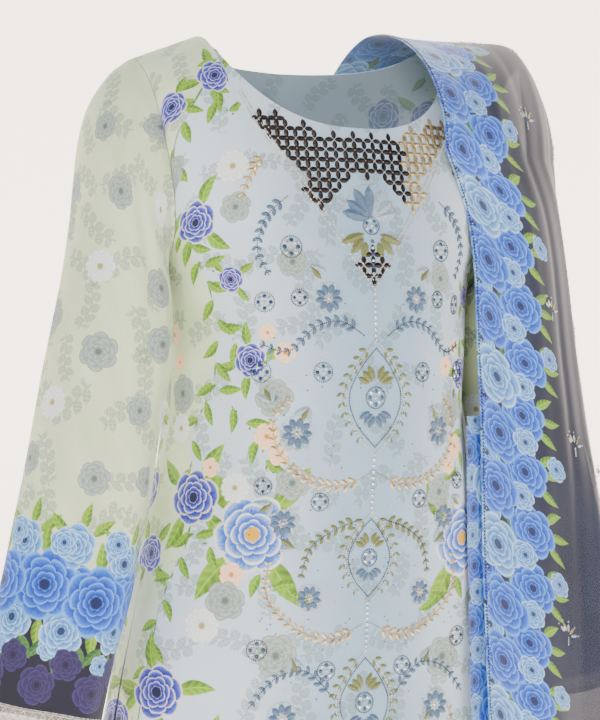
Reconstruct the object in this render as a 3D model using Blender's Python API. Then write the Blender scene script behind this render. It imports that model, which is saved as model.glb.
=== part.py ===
"""Three-piece lawn suit: a worn kameez with its trousers and a sheer dupatta over the left shoulder.

Metres, +Z up, the front faces -Y and the garment's left side is +X. The origin lies midway between
the two neck points of the kameez, where the wearer's shoulders carry the whole set. Every piece of
cloth is a thin closed wall, worked out from the sizes and the short tables below.
"""

import math

import bmesh
import bpy
from mathutils import Vector

# Cloth and seams
CLOTH = 0.0016
SHEER = 0.0014
SEAM_GAP = 0.0003
HALF_GAP = SEAM_GAP / 2

# Kameez: neck, shoulders, armholes and lengths
NECK_HALF_WIDTH = 0.1154
FRONT_NECK_DROP = 0.0856
BACK_NECK_DROP = 0.018
NECK_ROUNDNESS = 2.5
NECK_POWER = 0.52
SHOULDER_X = 0.178
SHOULDER_Z = -0.0245
UNDERARM_X = 0.150
UNDERARM_Z = -0.205
ARMHOLE_FULL_Z = -0.125
ARMHOLE_FRONT = 0.055
ARMHOLE_BACK = 0.050
ARMHOLE_POWER = 2.2
SECTION_POWER = 2.4
SLIT_TOP_Z = -0.455
SLIT_OPEN = 0.016
KAMEEZ_HEM_Z = -1.01
FRONT_ARCH_CENTRE = 0.32
BACK_ARCH_CENTRE = 0.26
ARCH_SHOULDER = 0.10

# Trousers
WAIST_TOP_Z = -0.385
WAIST_SEAM_Z = -0.420
CROTCH_Z = -0.665
FLY_TOP_BLEND = 0.11
TROUSER_HEM_Z = -1.335
INSEAM_X = 0.0015

# Dupatta: where the shoulder stretch ends at the front and at the back
DUPATTA_SHOULDER_Z = -0.10
DUPATTA_HEM_Z = -1.16

# Columns and rows of the walls
FRONT_FALL_HEIGHTS = (-0.16, -0.22, -0.28, -0.34, -0.40, -0.46, -0.53, -0.62, -0.72, -0.84, -0.98)
FRONT_FALL_HEIGHTS += (DUPATTA_HEM_Z,)
BACK_FALL_HEIGHTS = (-0.18, -0.27, -0.36, -0.46, -0.58, -0.72, -0.88, DUPATTA_HEM_Z)
NECK_COLUMNS = 5
SHOULDER_COLUMNS = 5
UPPER_ROWS = 9
LOWER_ROWS = 17
SLEEVE_SIDES = 20
LEG_SIDES = 18
DUPATTA_COLUMNS = 14

# Roundness of the hips, and how far a fold takes to reach its full depth
HIP_ROUNDNESS = 0.8
SLEEVE_FOLD_RINGS = 4.0
FOLD_GROWTH = 0.40
LEG_FOLD_GROWTH = 0.35
SEAM_ZONE_Z = UNDERARM_Z - 0.002


class Table:
    """Rows of sizes with named columns, read smoothly along the first column."""

    def __init__(self, names, rows):
        self.names = names
        self.rows = sorted(rows)
        self.keys = [row[0] for row in self.rows]

    def at(self, name, key):
        column = self.names.index(name)
        values = [row[column] for row in self.rows]
        keys = self.keys
        if key <= keys[0]:
            return values[0]
        if key >= keys[-1]:
            return values[-1]
        i = max(j for j in range(len(keys) - 1) if keys[j] <= key)
        span = keys[i + 1] - keys[i]
        t = (key - keys[i]) / span
        slopes = []
        for j in (i, i + 1):
            before, after = max(j - 1, 0), min(j + 1, len(keys) - 1)
            slopes.append((values[after] - values[before]) / (keys[after] - keys[before]) * span)
        h1 = 2 * t**3 - 3 * t**2 + 1
        h2 = t**3 - 2 * t**2 + t
        h3 = -2 * t**3 + 3 * t**2
        h4 = t**3 - t**2
        return h1 * values[i] + h2 * slopes[0] + h3 * values[i + 1] + h4 * slopes[1]


# Kameez sections below the underarm: half width, and depth to the front and to the back
BODY = Table(
    ("z", "half_width", "front", "back"),
    (
        (-0.205, 0.150, 0.123, 0.098),
        (-0.240, 0.1415, 0.124, 0.094),
        (-0.280, 0.1385, 0.125, 0.088),
        (-0.320, 0.1385, 0.124, 0.082),
        (-0.366, 0.1430, 0.122, 0.077),
        (-0.410, 0.1520, 0.118, 0.078),
        (-0.456, 0.1630, 0.113, 0.084),
        (-0.502, 0.1716, 0.110, 0.092),
        (-0.582, 0.1887, 0.104, 0.103),
        (-0.700, 0.2080, 0.107, 0.110),
        (-0.850, 0.2280, 0.114, 0.118),
        (-1.010, 0.2460, 0.122, 0.126),
    ),
)

# Soft folds of the hanging panels: place across, width, depth, and the height where each one starts
FRONT_FOLDS = (
    (-0.80, 0.16, -0.010, -0.46),
    (-0.52, 0.13, 0.006, -0.56),
    (-0.22, 0.15, -0.007, -0.52),
    (0.12, 0.14, 0.006, -0.60),
    (0.40, 0.14, -0.008, -0.50),
    (0.78, 0.15, 0.007, -0.55),
)
BACK_FOLDS = (
    (-0.72, 0.15, -0.009, -0.44),
    (-0.40, 0.14, 0.008, -0.52),
    (-0.05, 0.16, -0.010, -0.40),
    (0.30, 0.13, 0.007, -0.55),
    (0.66, 0.15, -0.009, -0.46),
)

# Sleeve rings from the armhole to the hem, then the end of the lace
SLEEVE = Table(
    ("ring", "out_x", "out_z", "in_x", "in_z", "centre_y", "half_depth"),
    (
        (0, 0.1780, -0.0245, 0.1500, -0.2050, 0.000, 0.0550),
        (1, 0.1910, -0.0335, 0.1502, -0.2085, -0.001, 0.0565),
        (2, 0.2040, -0.0485, 0.1504, -0.2120, -0.002, 0.0575),
        (3, 0.2155, -0.0680, 0.1506, -0.2155, -0.003, 0.0580),
        (4, 0.2235, -0.0960, 0.1508, -0.2200, -0.005, 0.0575),
        (5, 0.2290, -0.1300, 0.1508, -0.2260, -0.008, 0.0560),
        (6, 0.2355, -0.1700, 0.1500, -0.2340, -0.012, 0.0540),
        (7, 0.2445, -0.2130, 0.1488, -0.2480, -0.016, 0.0520),
        (8, 0.2575, -0.2640, 0.1480, -0.2900, -0.020, 0.0510),
        (9, 0.2670, -0.3050, 0.1570, -0.3300, -0.021, 0.0510),
        (10, 0.2770, -0.3530, 0.1650, -0.3780, -0.023, 0.0510),
        (11, 0.2860, -0.3930, 0.1715, -0.4200, -0.025, 0.0510),
        (12, 0.2955, -0.4305, 0.1815, -0.4570, -0.027, 0.0510),
        (13, 0.3045, -0.4660, 0.1890, -0.4935, -0.030, 0.0510),
        (14, 0.3175, -0.5140, 0.2040, -0.5400, -0.033, 0.0510),
        (15, 0.3305, -0.5675, 0.2180, -0.5935, -0.036, 0.0510),
        (16, 0.3335, -0.5820, 0.2215, -0.6085, -0.037, 0.0510),
    ),
)
SLEEVE_HEM_RING = 15
LACE_END_RING = 16

# Long sleeve folds: angle round from the outer edge over the front, width, depth, first ring, drift
SLEEVE_FOLDS = (
    (95.0, 20.0, -0.0060, 7.0, -1.5),
    (48.0, 17.0, 0.0035, 5.5, 1.0),
    (140.0, 18.0, -0.0045, 6.0, 2.0),
    (215.0, 20.0, -0.0050, 6.0, -2.0),
    (265.0, 19.0, 0.0040, 8.0, 1.0),
    (310.0, 20.0, -0.0045, 5.0, 1.5),
)

# Trouser sections: hip shell above the crotch, one ring for each leg below it
TROUSERS = Table(
    ("z", "hip_half_width", "front", "back", "leg_centre", "leg_half_width", "leg_half_depth"),
    (
        (-0.385, 0.1300, 0.082, 0.056, 0.0700, 0.0685, 0.072),
        (-0.420, 0.1380, 0.083, 0.060, 0.0740, 0.0725, 0.073),
        (-0.460, 0.1585, 0.084, 0.068, 0.0800, 0.0785, 0.078),
        (-0.510, 0.1704, 0.084, 0.076, 0.0850, 0.0835, 0.082),
        (-0.580, 0.1720, 0.084, 0.086, 0.0860, 0.0845, 0.086),
        (-0.665, 0.1680, 0.084, 0.088, 0.0855, 0.0835, 0.088),
        (-0.800, 0.1600, 0.080, 0.082, 0.0850, 0.0785, 0.083),
        (-1.000, 0.148, 0.075, 0.075, 0.0840, 0.0710, 0.074),
        (-1.335, 0.146, 0.070, 0.070, 0.0870, 0.0690, 0.064),
    ),
)
# Long trouser folds: angle round the leg from the centre front, width, depth and starting height
LEG_FOLDS = (
    (20.0, 22.0, -0.006, -0.72),
    (75.0, 20.0, 0.005, -0.60),
    (130.0, 22.0, -0.006, -0.78),
    (235.0, 22.0, 0.005, -0.70),
    (290.0, 20.0, -0.007, -0.66),
)

# Dupatta: five named places across the sheet, from the neck side to the free edge over the arm
ACROSS = ("inner", "chest", "arm_front", "arm_side", "edge")
FRONT_FALL = Table(
    ("z",) + tuple(place + axis for place in ACROSS for axis in ("_x", "_y")),
    (
        (-0.100, 0.0830, -0.106, 0.130, -0.096, 0.190, -0.080, 0.246, -0.040, 0.254, 0.016),
        (-0.150, 0.1085, -0.0976, 0.150, -0.089, 0.200, -0.082, 0.251, -0.042, 0.259, 0.014),
        (-0.200, 0.1190, -0.0960, 0.158, -0.089, 0.208, -0.083, 0.257, -0.044, 0.265, 0.012),
        (-0.280, 0.1240, -0.0940, 0.162, -0.088, 0.214, -0.086, 0.267, -0.048, 0.274, 0.004),
        (-0.340, 0.1280, -0.093, 0.168, -0.088, 0.222, -0.088, 0.272, -0.056, 0.283, -0.018),
        (-0.400, 0.1295, -0.093, 0.170, -0.090, 0.222, -0.092, 0.262, -0.080, 0.281, -0.060),
        (-0.460, 0.1298, -0.094, 0.168, -0.092, 0.218, -0.094, 0.254, -0.092, 0.273, -0.086),
        (-0.530, 0.1300, -0.098, 0.167, -0.096, 0.216, -0.098, 0.250, -0.099, 0.268, -0.098),
        (-0.620, 0.1310, -0.104, 0.168, -0.100, 0.216, -0.102, 0.252, -0.104, 0.271, -0.104),
        (-0.800, 0.1330, -0.122, 0.172, -0.116, 0.220, -0.112, 0.256, -0.110, 0.276, -0.108),
        (-1.160, 0.1360, -0.142, 0.178, -0.138, 0.228, -0.132, 0.266, -0.126, 0.288, -0.120),
    ),
)
RIDGE = {
    # place: x, y and z of the highest line, where the sheet turns over the shoulder
    "inner": (0.0820, 0.030, 0.0190),
    "chest": (0.1280, 0.020, 0.0160),
    "arm_front": (0.1750, 0.010, 0.0160),
    "arm_side": (0.2170, 0.004, 0.0150),
    "edge": (0.2360, 0.002, -0.0060),
}
BACK_FALL = Table(
    FRONT_FALL.names,
    (
        (-0.100, 0.0540, 0.098, 0.100, 0.093, 0.150, 0.082, 0.200, 0.074, 0.236, 0.056),
        (-0.200, 0.0500, 0.112, 0.098, 0.106, 0.150, 0.088, 0.198, 0.074, 0.238, 0.058),
        (-0.300, 0.0480, 0.103, 0.096, 0.096, 0.148, 0.080, 0.196, 0.068, 0.236, 0.056),
        (-0.400, 0.0470, 0.098, 0.095, 0.093, 0.147, 0.082, 0.194, 0.070, 0.232, 0.058),
        (-0.520, 0.0460, 0.112, 0.094, 0.108, 0.146, 0.098, 0.192, 0.086, 0.228, 0.074),
        (-0.700, 0.0460, 0.134, 0.094, 0.130, 0.146, 0.120, 0.192, 0.106, 0.228, 0.092),
        (-1.160, 0.0480, 0.156, 0.097, 0.153, 0.150, 0.144, 0.196, 0.130, 0.232, 0.114),
    ),
)
# Hanging folds of the dupatta: share across, width, depth and starting height
DUPATTA_FOLDS = (
    (0.16, 0.09, -0.006, -0.40),
    (0.38, 0.10, 0.007, -0.34),
    (0.60, 0.09, -0.008, -0.46),
    (0.82, 0.09, 0.006, -0.38),
)
# The layer folded under the inner edge: where its free line lies, and the share it is folded in to
FOLD_LAYER = Table(
    ("z", "free_x", "free_y"),
    (
        (-0.340, 0.1130, -0.0935),
        (-0.400, 0.1115, -0.0970),
        (-0.500, 0.1125, -0.0980),
        (-0.650, 0.1140, -0.1030),
        (-0.800, 0.1150, -0.1130),
        (-1.160, 0.1170, -0.1350),
    ),
)
FOLD_SHARE = 2 / DUPATTA_COLUMNS
FOLD_SLACK = 0.0045


def clear_scene():
    """Remove what a new file holds."""
    for old in list(bpy.data.objects):
        bpy.data.objects.remove(old, do_unlink=True)


def clamp(value, low=0.0, high=1.0):
    return max(low, min(high, value))


def smooth(value):
    t = clamp(value)
    return t * t * (3 - 2 * t)


def superellipse(share, power):
    """Depth share of a rounded section at a share of its half width."""
    return (1 - clamp(abs(share)) ** power) ** (1 / power)


def seam_plane_x(z):
    """The armhole seams lie in one leaning plane on each side."""
    t = (z - UNDERARM_Z) / (SHOULDER_Z - UNDERARM_Z)
    return UNDERARM_X + (SHOULDER_X - UNDERARM_X) * t


def armhole_x(z):
    """Half width at an armhole, which stops growing at the shoulder point."""
    return min(seam_plane_x(z), SHOULDER_X)


def half_width(z):
    if z >= UNDERARM_Z:
        return armhole_x(z)
    return BODY.at("half_width", z)


def shoulder_z(x):
    """Height of the shoulder line, carried on above the neck opening."""
    slope = SHOULDER_Z / (SHOULDER_X - NECK_HALF_WIDTH)
    return slope * (abs(x) - NECK_HALF_WIDTH)


def neck_z(x, side):
    drop = FRONT_NECK_DROP if side == "front" else BACK_NECK_DROP
    share = clamp(abs(x) / NECK_HALF_WIDTH)
    return -drop * (1 - share**NECK_ROUNDNESS) ** NECK_POWER


def armhole_depth(z, side):
    """How far the armhole edge stands before or behind the shoulder plane."""
    full = ARMHOLE_FRONT if side == "front" else ARMHOLE_BACK
    share = (ARMHOLE_FULL_Z - z) / (ARMHOLE_FULL_Z - UNDERARM_Z)
    if share <= 0:
        return full
    return full * superellipse(share, ARMHOLE_POWER)


def body_depth(x, z, side):
    """Distance of the front or back from the shoulder plane."""
    deep = BODY.at(side, z)
    wide = half_width(z)
    if z > UNDERARM_Z:
        edge_share = clamp(armhole_depth(z, side) / deep, 0, 0.98)
        wide = wide / (1 - edge_share**SECTION_POWER) ** (1 / SECTION_POWER)
    depth = deep * superellipse(x / wide, SECTION_POWER)
    centre = FRONT_ARCH_CENTRE if side == "front" else BACK_ARCH_CENTRE
    reach = ARCH_SHOULDER + (centre - ARCH_SHOULDER) * (1 - clamp(abs(x) / SHOULDER_X) ** 2)
    rise = clamp((shoulder_z(x) - z) / reach)
    return depth * math.sqrt(1 - (1 - rise) ** 2)


def fold_offset(folds, across, z):
    """Soft ridges and troughs that grow towards the hem."""
    total = 0.0
    for place, width, depth, start in folds:
        grown = smooth((start - z) / FOLD_GROWTH)
        total += depth * grown * math.exp(-(((across - place) / width) ** 2))
    return total


def body_point(q, z, side):
    """A point of the front or back panel at share q across and height z."""
    sign = -1 if side == "front" else 1
    x = q * half_width(z)
    depth = max(body_depth(x, z, side), 0.0)
    folds = FRONT_FOLDS if side == "front" else BACK_FOLDS
    depth += fold_offset(folds, q, z) * superellipse(q, 6)
    opened = smooth((SLIT_TOP_Z - z) / (SLIT_TOP_Z - KAMEEZ_HEM_Z))
    depth += SLIT_OPEN * opened * abs(q) ** 8
    return Vector((x, sign * max(depth, HALF_GAP), z))


def armhole_side(point):
    """Signed distance from the armhole plane, positive towards the sleeve."""
    lean = (SHOULDER_X - UNDERARM_X) / (SHOULDER_Z - UNDERARM_Z)
    return (abs(point.x) - seam_plane_x(point.z)) / math.hypot(1, lean)


def panel_columns():
    """Shares across a panel, with one column on each neck point."""
    neck_share = NECK_HALF_WIDTH / SHOULDER_X
    neck_turn = math.asin(neck_share ** (SECTION_POWER / 2))
    turns = [neck_turn * i / NECK_COLUMNS for i in range(NECK_COLUMNS)]
    rest = math.pi / 2 - neck_turn
    turns += [neck_turn + rest * i / SHOULDER_COLUMNS for i in range(SHOULDER_COLUMNS + 1)]
    right = [math.sin(turn) ** (2 / SECTION_POWER) for turn in turns]
    return [-q for q in reversed(right[1:])] + right


def panel_grid(side):
    """Rows of outer points from the neck and shoulders down to the hem."""
    rows = []
    columns = panel_columns()
    tops = []
    for q in columns:
        x = abs(q) * SHOULDER_X
        in_neck = x < NECK_HALF_WIDTH - 1e-6
        tops.append(neck_z(x, side) if in_neck else shoulder_z(x))
    for i in range(UPPER_ROWS + 1):
        turn = math.pi / 2 * i / UPPER_ROWS
        share = 1 - math.cos(turn)
        heights = [top + (UNDERARM_Z - top) * share for top in tops]
        rows.append([body_point(q, z, side) for q, z in zip(columns, heights)])
    for i in range(1, LOWER_ROWS + 1):
        z = UNDERARM_Z + (KAMEEZ_HEM_Z - UNDERARM_Z) * i / LOWER_ROWS
        rows.append([body_point(q, z, side) for q in columns])
    return rows


def grid_normals(rows, closed, inward_hint):
    """Unit normals of a grid of points, turned away from the hint inside the garment."""
    normals = []
    count = len(rows[0])
    for i, row in enumerate(rows):
        line = []
        for j, point in enumerate(row):
            left = (j - 1) % count if closed else max(j - 1, 0)
            right = (j + 1) % count if closed else min(j + 1, count - 1)
            along = row[right] - row[left]
            down = rows[min(i + 1, len(rows) - 1)][j] - rows[max(i - 1, 0)][j]
            normal = along.cross(down).normalized()
            if normal.dot(point - inward_hint(point)) < 0:
                normal.negate()
            line.append(normal)
        normals.append(line)
    return normals


def inner_points(rows, normals, thickness):
    return [[p - n * thickness for p, n in zip(row, line)] for row, line in zip(rows, normals)]


def wall_mesh(name, outer, inner, closed):
    """A closed solid between two grids of points; a closed grid is a tube."""
    bm = bmesh.new()
    out = [[bm.verts.new(p) for p in row] for row in outer]
    ins = [[bm.verts.new(p) for p in row] for row in inner]
    count = len(outer[0])
    steps = count if closed else count - 1
    for i in range(len(outer) - 1):
        for j in range(steps):
            k = (j + 1) % count
            bm.faces.new((out[i][j], out[i][k], out[i + 1][k], out[i + 1][j]))
            bm.faces.new((ins[i][j], ins[i + 1][j], ins[i + 1][k], ins[i][k]))
    for i in (0, len(outer) - 1):
        for j in range(steps):
            k = (j + 1) % count
            bm.faces.new((out[i][j], ins[i][j], ins[i][k], out[i][k]))
    if not closed:
        for j in (0, count - 1):
            for i in range(len(outer) - 1):
                bm.faces.new((out[i][j], out[i + 1][j], ins[i + 1][j], ins[i][j]))
    return finish_mesh(name, bm)


def finish_mesh(name, bm):
    bmesh.ops.recalc_face_normals(bm, faces=bm.faces[:])
    if bm.calc_volume(signed=True) < 0:
        bmesh.ops.reverse_faces(bm, faces=bm.faces[:])
    mesh = bpy.data.meshes.new(name)
    bm.to_mesh(mesh)
    bm.free()
    mesh.shade_smooth()
    mesh.set_sharp_from_angle(angle=math.radians(50))
    return mesh


def cloth_material(name, colour, roughness):
    material = bpy.data.materials.new(name)
    material.use_nodes = True
    shader = material.node_tree.nodes["Principled BSDF"]
    shader.inputs["Base Color"].default_value = (*colour, 1.0)
    shader.inputs["Roughness"].default_value = roughness
    shader.inputs["Metallic"].default_value = 0.0
    return material


def add_piece(mesh, material):
    piece = bpy.data.objects.new(mesh.name, mesh)
    mesh.materials.append(material)
    bpy.context.scene.collection.objects.link(piece)
    return piece


def body_line(point):
    """A place well inside the kameez, which its walls face away from."""
    chest_z = -0.25
    return Vector((point.x * 0.3, 0, min(point.z, chest_z)))


def arm_line(point):
    """A place inside the left sleeve, on a line from the armhole down to the hem."""
    top, low = Vector((0.17, -0.02, -0.17)), Vector((0.285, -0.02, -0.60))
    share = clamp((point.z - top.z) / (low.z - top.z))
    return top.lerp(low, share)


def leg_line(point):
    """A place on the middle line of the left leg."""
    return Vector((0.075, 0, point.z))


def scarf_line(point):
    """A place under the dupatta, between its two falls."""
    return Vector((0.16, 0.0, min(point.z, -0.06) - 0.01))


def make_panel(name, side, material):
    """Front or back of the kameez, from the shoulder seams to the hem."""
    outer = panel_grid(side)
    normals = grid_normals(outer, False, body_line)
    inner = inner_points(outer, normals, CLOTH)
    sign = -1 if side == "front" else 1
    for row in inner:
        for j, point in enumerate(row):
            if sign * point.y < HALF_GAP:
                point.y = sign * HALF_GAP
            if point.z > SEAM_ZONE_Z:
                beyond = armhole_side(point) + HALF_GAP
                if beyond > 0:
                    point.x -= math.copysign(beyond, point.x)
    for row in outer:
        for point in row:
            if point.z > SEAM_ZONE_Z and armhole_side(point) > -HALF_GAP:
                point.x -= math.copysign(armhole_side(point) + HALF_GAP, point.x)
    return add_piece(wall_mesh(name, outer, inner, False), material)


def armhole_ring():
    """The oval of the armhole seam, from the shoulder over the front to the underarm and back up."""
    middle = (SHOULDER_Z + UNDERARM_Z) / 2
    half = (SHOULDER_Z - UNDERARM_Z) / 2
    ring = []
    for j in range(SLEEVE_SIDES):
        turn = 2 * math.pi * j / SLEEVE_SIDES
        z = middle + half * math.cos(turn)
        side = "front" if turn < math.pi else "back"
        sign = -1 if side == "front" else 1
        x = armhole_x(z)
        depth = 0.0 if j in (0, SLEEVE_SIDES // 2) else body_depth(x, z, side)
        ring.append(Vector((x + SEAM_GAP, sign * depth, z)))
    return ring


def sleeve_fold(turn_degrees, ring):
    total = 0.0
    for angle, width, depth, first, drift in SLEEVE_FOLDS:
        place = angle + drift * (ring - first)
        apart = (turn_degrees - place + 180) % 360 - 180
        total += depth * smooth((ring - first) / SLEEVE_FOLD_RINGS) * math.exp(-((apart / width) ** 2))
    return total


def sleeve_ring(ring):
    """One cross-section of the left sleeve."""
    size = {name: SLEEVE.at(name, ring) for name in SLEEVE.names[1:]}
    top = Vector((size["out_x"], size["centre_y"], size["out_z"]))
    low = Vector((size["in_x"], size["centre_y"], size["in_z"]))
    centre = (top + low) / 2
    arm = (top - low) / 2
    points = []
    for j in range(SLEEVE_SIDES):
        turn = 2 * math.pi * j / SLEEVE_SIDES
        swell = 1 + sleeve_fold(math.degrees(turn), ring) / size["half_depth"]
        across = arm * math.cos(turn)
        forward = Vector((0, -size["half_depth"], 0)) * math.sin(turn)
        points.append(centre + (across + forward) * swell)
    return points


def sleeve_rows(first, last, steps):
    return [sleeve_ring(first + (last - first) * i / steps) for i in range(steps + 1)]


def make_sleeve(name, material, lace_name, lace_material, mirror):
    """A sleeve from its armhole seam to its hem, and the lace sewn under the hem."""
    outer = [armhole_ring()] + sleeve_rows(1, SLEEVE_HEM_RING, SLEEVE_HEM_RING - 1)
    lace = sleeve_rows(SLEEVE_HEM_RING, LACE_END_RING, 2)
    whole = outer + lace[1:]
    normals = grid_normals(whole, True, arm_line)
    inner = inner_points(whole, normals, CLOTH)
    centre = sum(whole[0], Vector()) / len(whole[0])
    for j, point in enumerate(whole[0]):
        towards = centre - point
        inner[0][j] = point + towards.normalized() * CLOTH
    hem = len(outer)
    step = (lace[1][0] - lace[0][0]).normalized() * SEAM_GAP
    parts = [(name, whole[:hem], inner[:hem], material)]
    lace_outer = [[p + step for p in whole[hem - 1]]] + whole[hem:]
    lace_inner = [[p + step for p in inner[hem - 1]]] + inner[hem:]
    parts.append((lace_name, lace_outer, lace_inner, lace_material))
    for part_name, out_rows, in_rows, part_material in parts:
        if mirror:
            out_rows = [[Vector((-p.x, p.y, p.z)) for p in row] for row in out_rows]
            in_rows = [[Vector((-p.x, p.y, p.z)) for p in row] for row in in_rows]
        add_piece(wall_mesh(part_name, out_rows, in_rows, True), part_material)


def leg_row(z):
    """One section of the left trouser leg, from the centre front round to the centre back."""
    size = {name: TROUSERS.at(name, z) for name in TROUSERS.names[1:]}
    opened = smooth((z - CROTCH_Z) / FLY_TOP_BLEND)
    points = []
    for j in range(LEG_SIDES + 1):
        share = j / LEG_SIDES
        turn = math.pi - 2 * math.pi * share
        ring = Vector((size["leg_centre"] + size["leg_half_width"] * math.cos(turn), 0, z))
        ring.y = -size["leg_half_depth"] * math.sin(turn)
        round_hip = math.pi * share
        depth = size["front"] if share < 0.5 else size["back"]
        hip = Vector((INSEAM_X + size["hip_half_width"] * math.sin(round_hip) ** HIP_ROUNDNESS, 0, z))
        hip.y = -depth * math.copysign(abs(math.cos(round_hip)) ** HIP_ROUNDNESS, math.cos(round_hip))
        degrees = 360 * share
        swell = 0.0
        for angle, width, fold_depth, start in LEG_FOLDS:
            grown = smooth((start - z) / LEG_FOLD_GROWTH)
            swell += fold_depth * grown * math.exp(-(((degrees - angle) / width) ** 2))
        outward = Vector((math.cos(turn), -math.sin(turn), 0))
        inside = clamp((ring.x - INSEAM_X) / 0.02)
        points.append(ring.lerp(hip, opened) + outward * swell * inside)
    return points


def make_leg(name, material, mirror):
    """A trouser leg with its half of the hips: a tube below the crotch, open above it."""
    heights = [CROTCH_Z + FLY_TOP_BLEND * s for s in (1.0, 0.75, 0.5, 0.25)]
    heights = [WAIST_SEAM_Z, -0.46, -0.51] + heights + [CROTCH_Z]
    below = 8
    heights += [CROTCH_Z + (TROUSER_HEM_Z - CROTCH_Z) * (i + 1) / below for i in range(below)]
    outer = [leg_row(z) for z in heights]
    split = heights.index(CROTCH_Z)
    inner = []
    for i, row in enumerate(outer):
        line = []
        for j, point in enumerate(row):
            tube = i >= split
            before = row[(j - 1) % LEG_SIDES] if tube else row[max(j - 1, 0)]
            after = row[(j + 1) % LEG_SIDES] if tube else row[min(j + 1, LEG_SIDES)]
            down = outer[min(i + 1, len(outer) - 1)][j] - outer[max(i - 1, 0)][j]
            normal = (after - before).cross(down).normalized()
            if normal.dot(point - leg_line(point)) < 0:
                normal.negate()
            moved = point - normal * CLOTH
            if not tube and j in (0, LEG_SIDES):
                moved.x = point.x
            line.append(moved)
        inner.append(line)
    if mirror:
        outer = [[Vector((-p.x, p.y, p.z)) for p in row] for row in outer]
        inner = [[Vector((-p.x, p.y, p.z)) for p in row] for row in inner]
    bm = bmesh.new()

    def verts(rows):
        made = []
        for i, row in enumerate(rows):
            line = [bm.verts.new(p) for p in row[:-1]]
            line.append(line[0] if i >= split else bm.verts.new(row[-1]))
            made.append(line)
        return made

    out, ins = verts(outer), verts(inner)
    for i in range(len(out) - 1):
        for j in range(LEG_SIDES):
            bm.faces.new((out[i][j], out[i][j + 1], out[i + 1][j + 1], out[i + 1][j]))
            bm.faces.new((ins[i][j], ins[i + 1][j], ins[i + 1][j + 1], ins[i][j + 1]))
    for i in (0, len(out) - 1):
        for j in range(LEG_SIDES):
            bm.faces.new((out[i][j], ins[i][j], ins[i][j + 1], out[i][j + 1]))
    for j in (0, LEG_SIDES):
        for i in range(split):
            bm.faces.new((out[i][j], out[i + 1][j], ins[i + 1][j], ins[i][j]))
    add_piece(finish_mesh(name, bm), material)


def make_waistband(name, material):
    """A plain band that closes the top of the trousers."""
    sides = 2 * LEG_SIDES
    outer, inner = [], []
    for z in (WAIST_TOP_Z, (WAIST_TOP_Z + WAIST_SEAM_Z) / 2, WAIST_SEAM_Z + SEAM_GAP):
        out_row, in_row = [], []
        for j in range(sides):
            turn = 2 * math.pi * j / sides
            depth = TROUSERS.at("front" if math.cos(turn) > 0 else "back", z)
            wide = TROUSERS.at("hip_half_width", z)
            x = math.copysign(abs(math.sin(turn)) ** HIP_ROUNDNESS, math.sin(turn))
            y = -math.copysign(abs(math.cos(turn)) ** HIP_ROUNDNESS, math.cos(turn))
            out_row.append(Vector((wide * x, depth * y, z)))
            in_row.append(Vector(((wide - CLOTH) * x, (depth - CLOTH) * y, z)))
        outer.append(out_row)
        inner.append(in_row)
    add_piece(wall_mesh(name, outer, inner, True), material)


def across_curve(places, share):
    """A smooth line through the five places of one dupatta section."""
    key = share * (len(places) - 1)
    i = min(int(key), len(places) - 2)
    t = key - i
    p0, p1 = places[max(i - 1, 0)], places[i]
    p2, p3 = places[i + 1], places[min(i + 2, len(places) - 1)]
    bend = (2 * p1) + (p2 - p0) * t + (2 * p0 - 5 * p1 + 4 * p2 - p3) * t * t
    return 0.5 * (bend + (3 * p1 - p0 - 3 * p2 + p3) * t**3)


def fall_places(table, z):
    return [Vector((table.at(place + "_x", z), table.at(place + "_y", z), z)) for place in ACROSS]


def dupatta_row(table, z):
    sign = -1 if table is FRONT_FALL else 1
    places = fall_places(table, z)
    row = []
    for j in range(DUPATTA_COLUMNS + 1):
        share = j / DUPATTA_COLUMNS
        point = across_curve(places, share)
        point.y += sign * max(fold_offset(DUPATTA_FOLDS, share, z), -0.004)
        row.append(point)
    return row


def shoulder_row(table, turn):
    """A section of the arch between a fall and the ridge, at an angle up the arch."""
    row = []
    starts = fall_places(table, DUPATTA_SHOULDER_Z)
    places = []
    for place, start in zip(ACROSS, starts):
        top = Vector(RIDGE[place])
        share = turn / (math.pi / 2)
        x = start.x + (top.x - start.x) * smooth(share)
        y = top.y + (start.y - top.y) * math.cos(turn)
        z = start.z + (top.z - start.z) * math.sin(turn)
        places.append(Vector((x, y, z)))
    for j in range(DUPATTA_COLUMNS + 1):
        row.append(across_curve(places, j / DUPATTA_COLUMNS))
    return row


def make_dupatta(material):
    """The sheer sheet from its front hem over the shoulder to its back hem, in three stretches."""
    front = [dupatta_row(FRONT_FALL, z) for z in reversed(FRONT_FALL_HEIGHTS)]
    arch_steps = 5
    arch = [shoulder_row(FRONT_FALL, math.pi / 2 * i / arch_steps) for i in range(arch_steps + 1)]
    arch += [shoulder_row(BACK_FALL, math.pi / 2 * i / arch_steps) for i in range(arch_steps - 1, -1, -1)]
    back = [dupatta_row(BACK_FALL, z) for z in BACK_FALL_HEIGHTS]
    rows = front + arch + back
    normals = grid_normals(rows, False, scarf_line)
    inner = inner_points(rows, normals, SHEER)
    first, last = len(front), len(front) + len(arch) - 1

    def trimmed(grid, start, stop):
        """Rows from start to stop, pulled back by half a seam gap at each inner end."""
        part = [[p.copy() for p in row] for row in grid[start : stop + 1]]
        if start > 0:
            for j, point in enumerate(part[0]):
                point += (part[1][j] - point).normalized() * HALF_GAP
        if stop < len(grid) - 1:
            for j, point in enumerate(part[-1]):
                point += (part[-2][j] - point).normalized() * HALF_GAP
        return part

    stretches = (
        ("dupatta_front", 0, first),
        ("dupatta_shoulder", first, last),
        ("dupatta_back", last, len(rows) - 1),
    )
    for name, start, stop in stretches:
        outer_part, inner_part = trimmed(rows, start, stop), trimmed(inner, start, stop)
        add_piece(wall_mesh(name, outer_part, inner_part, False), material)


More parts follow.
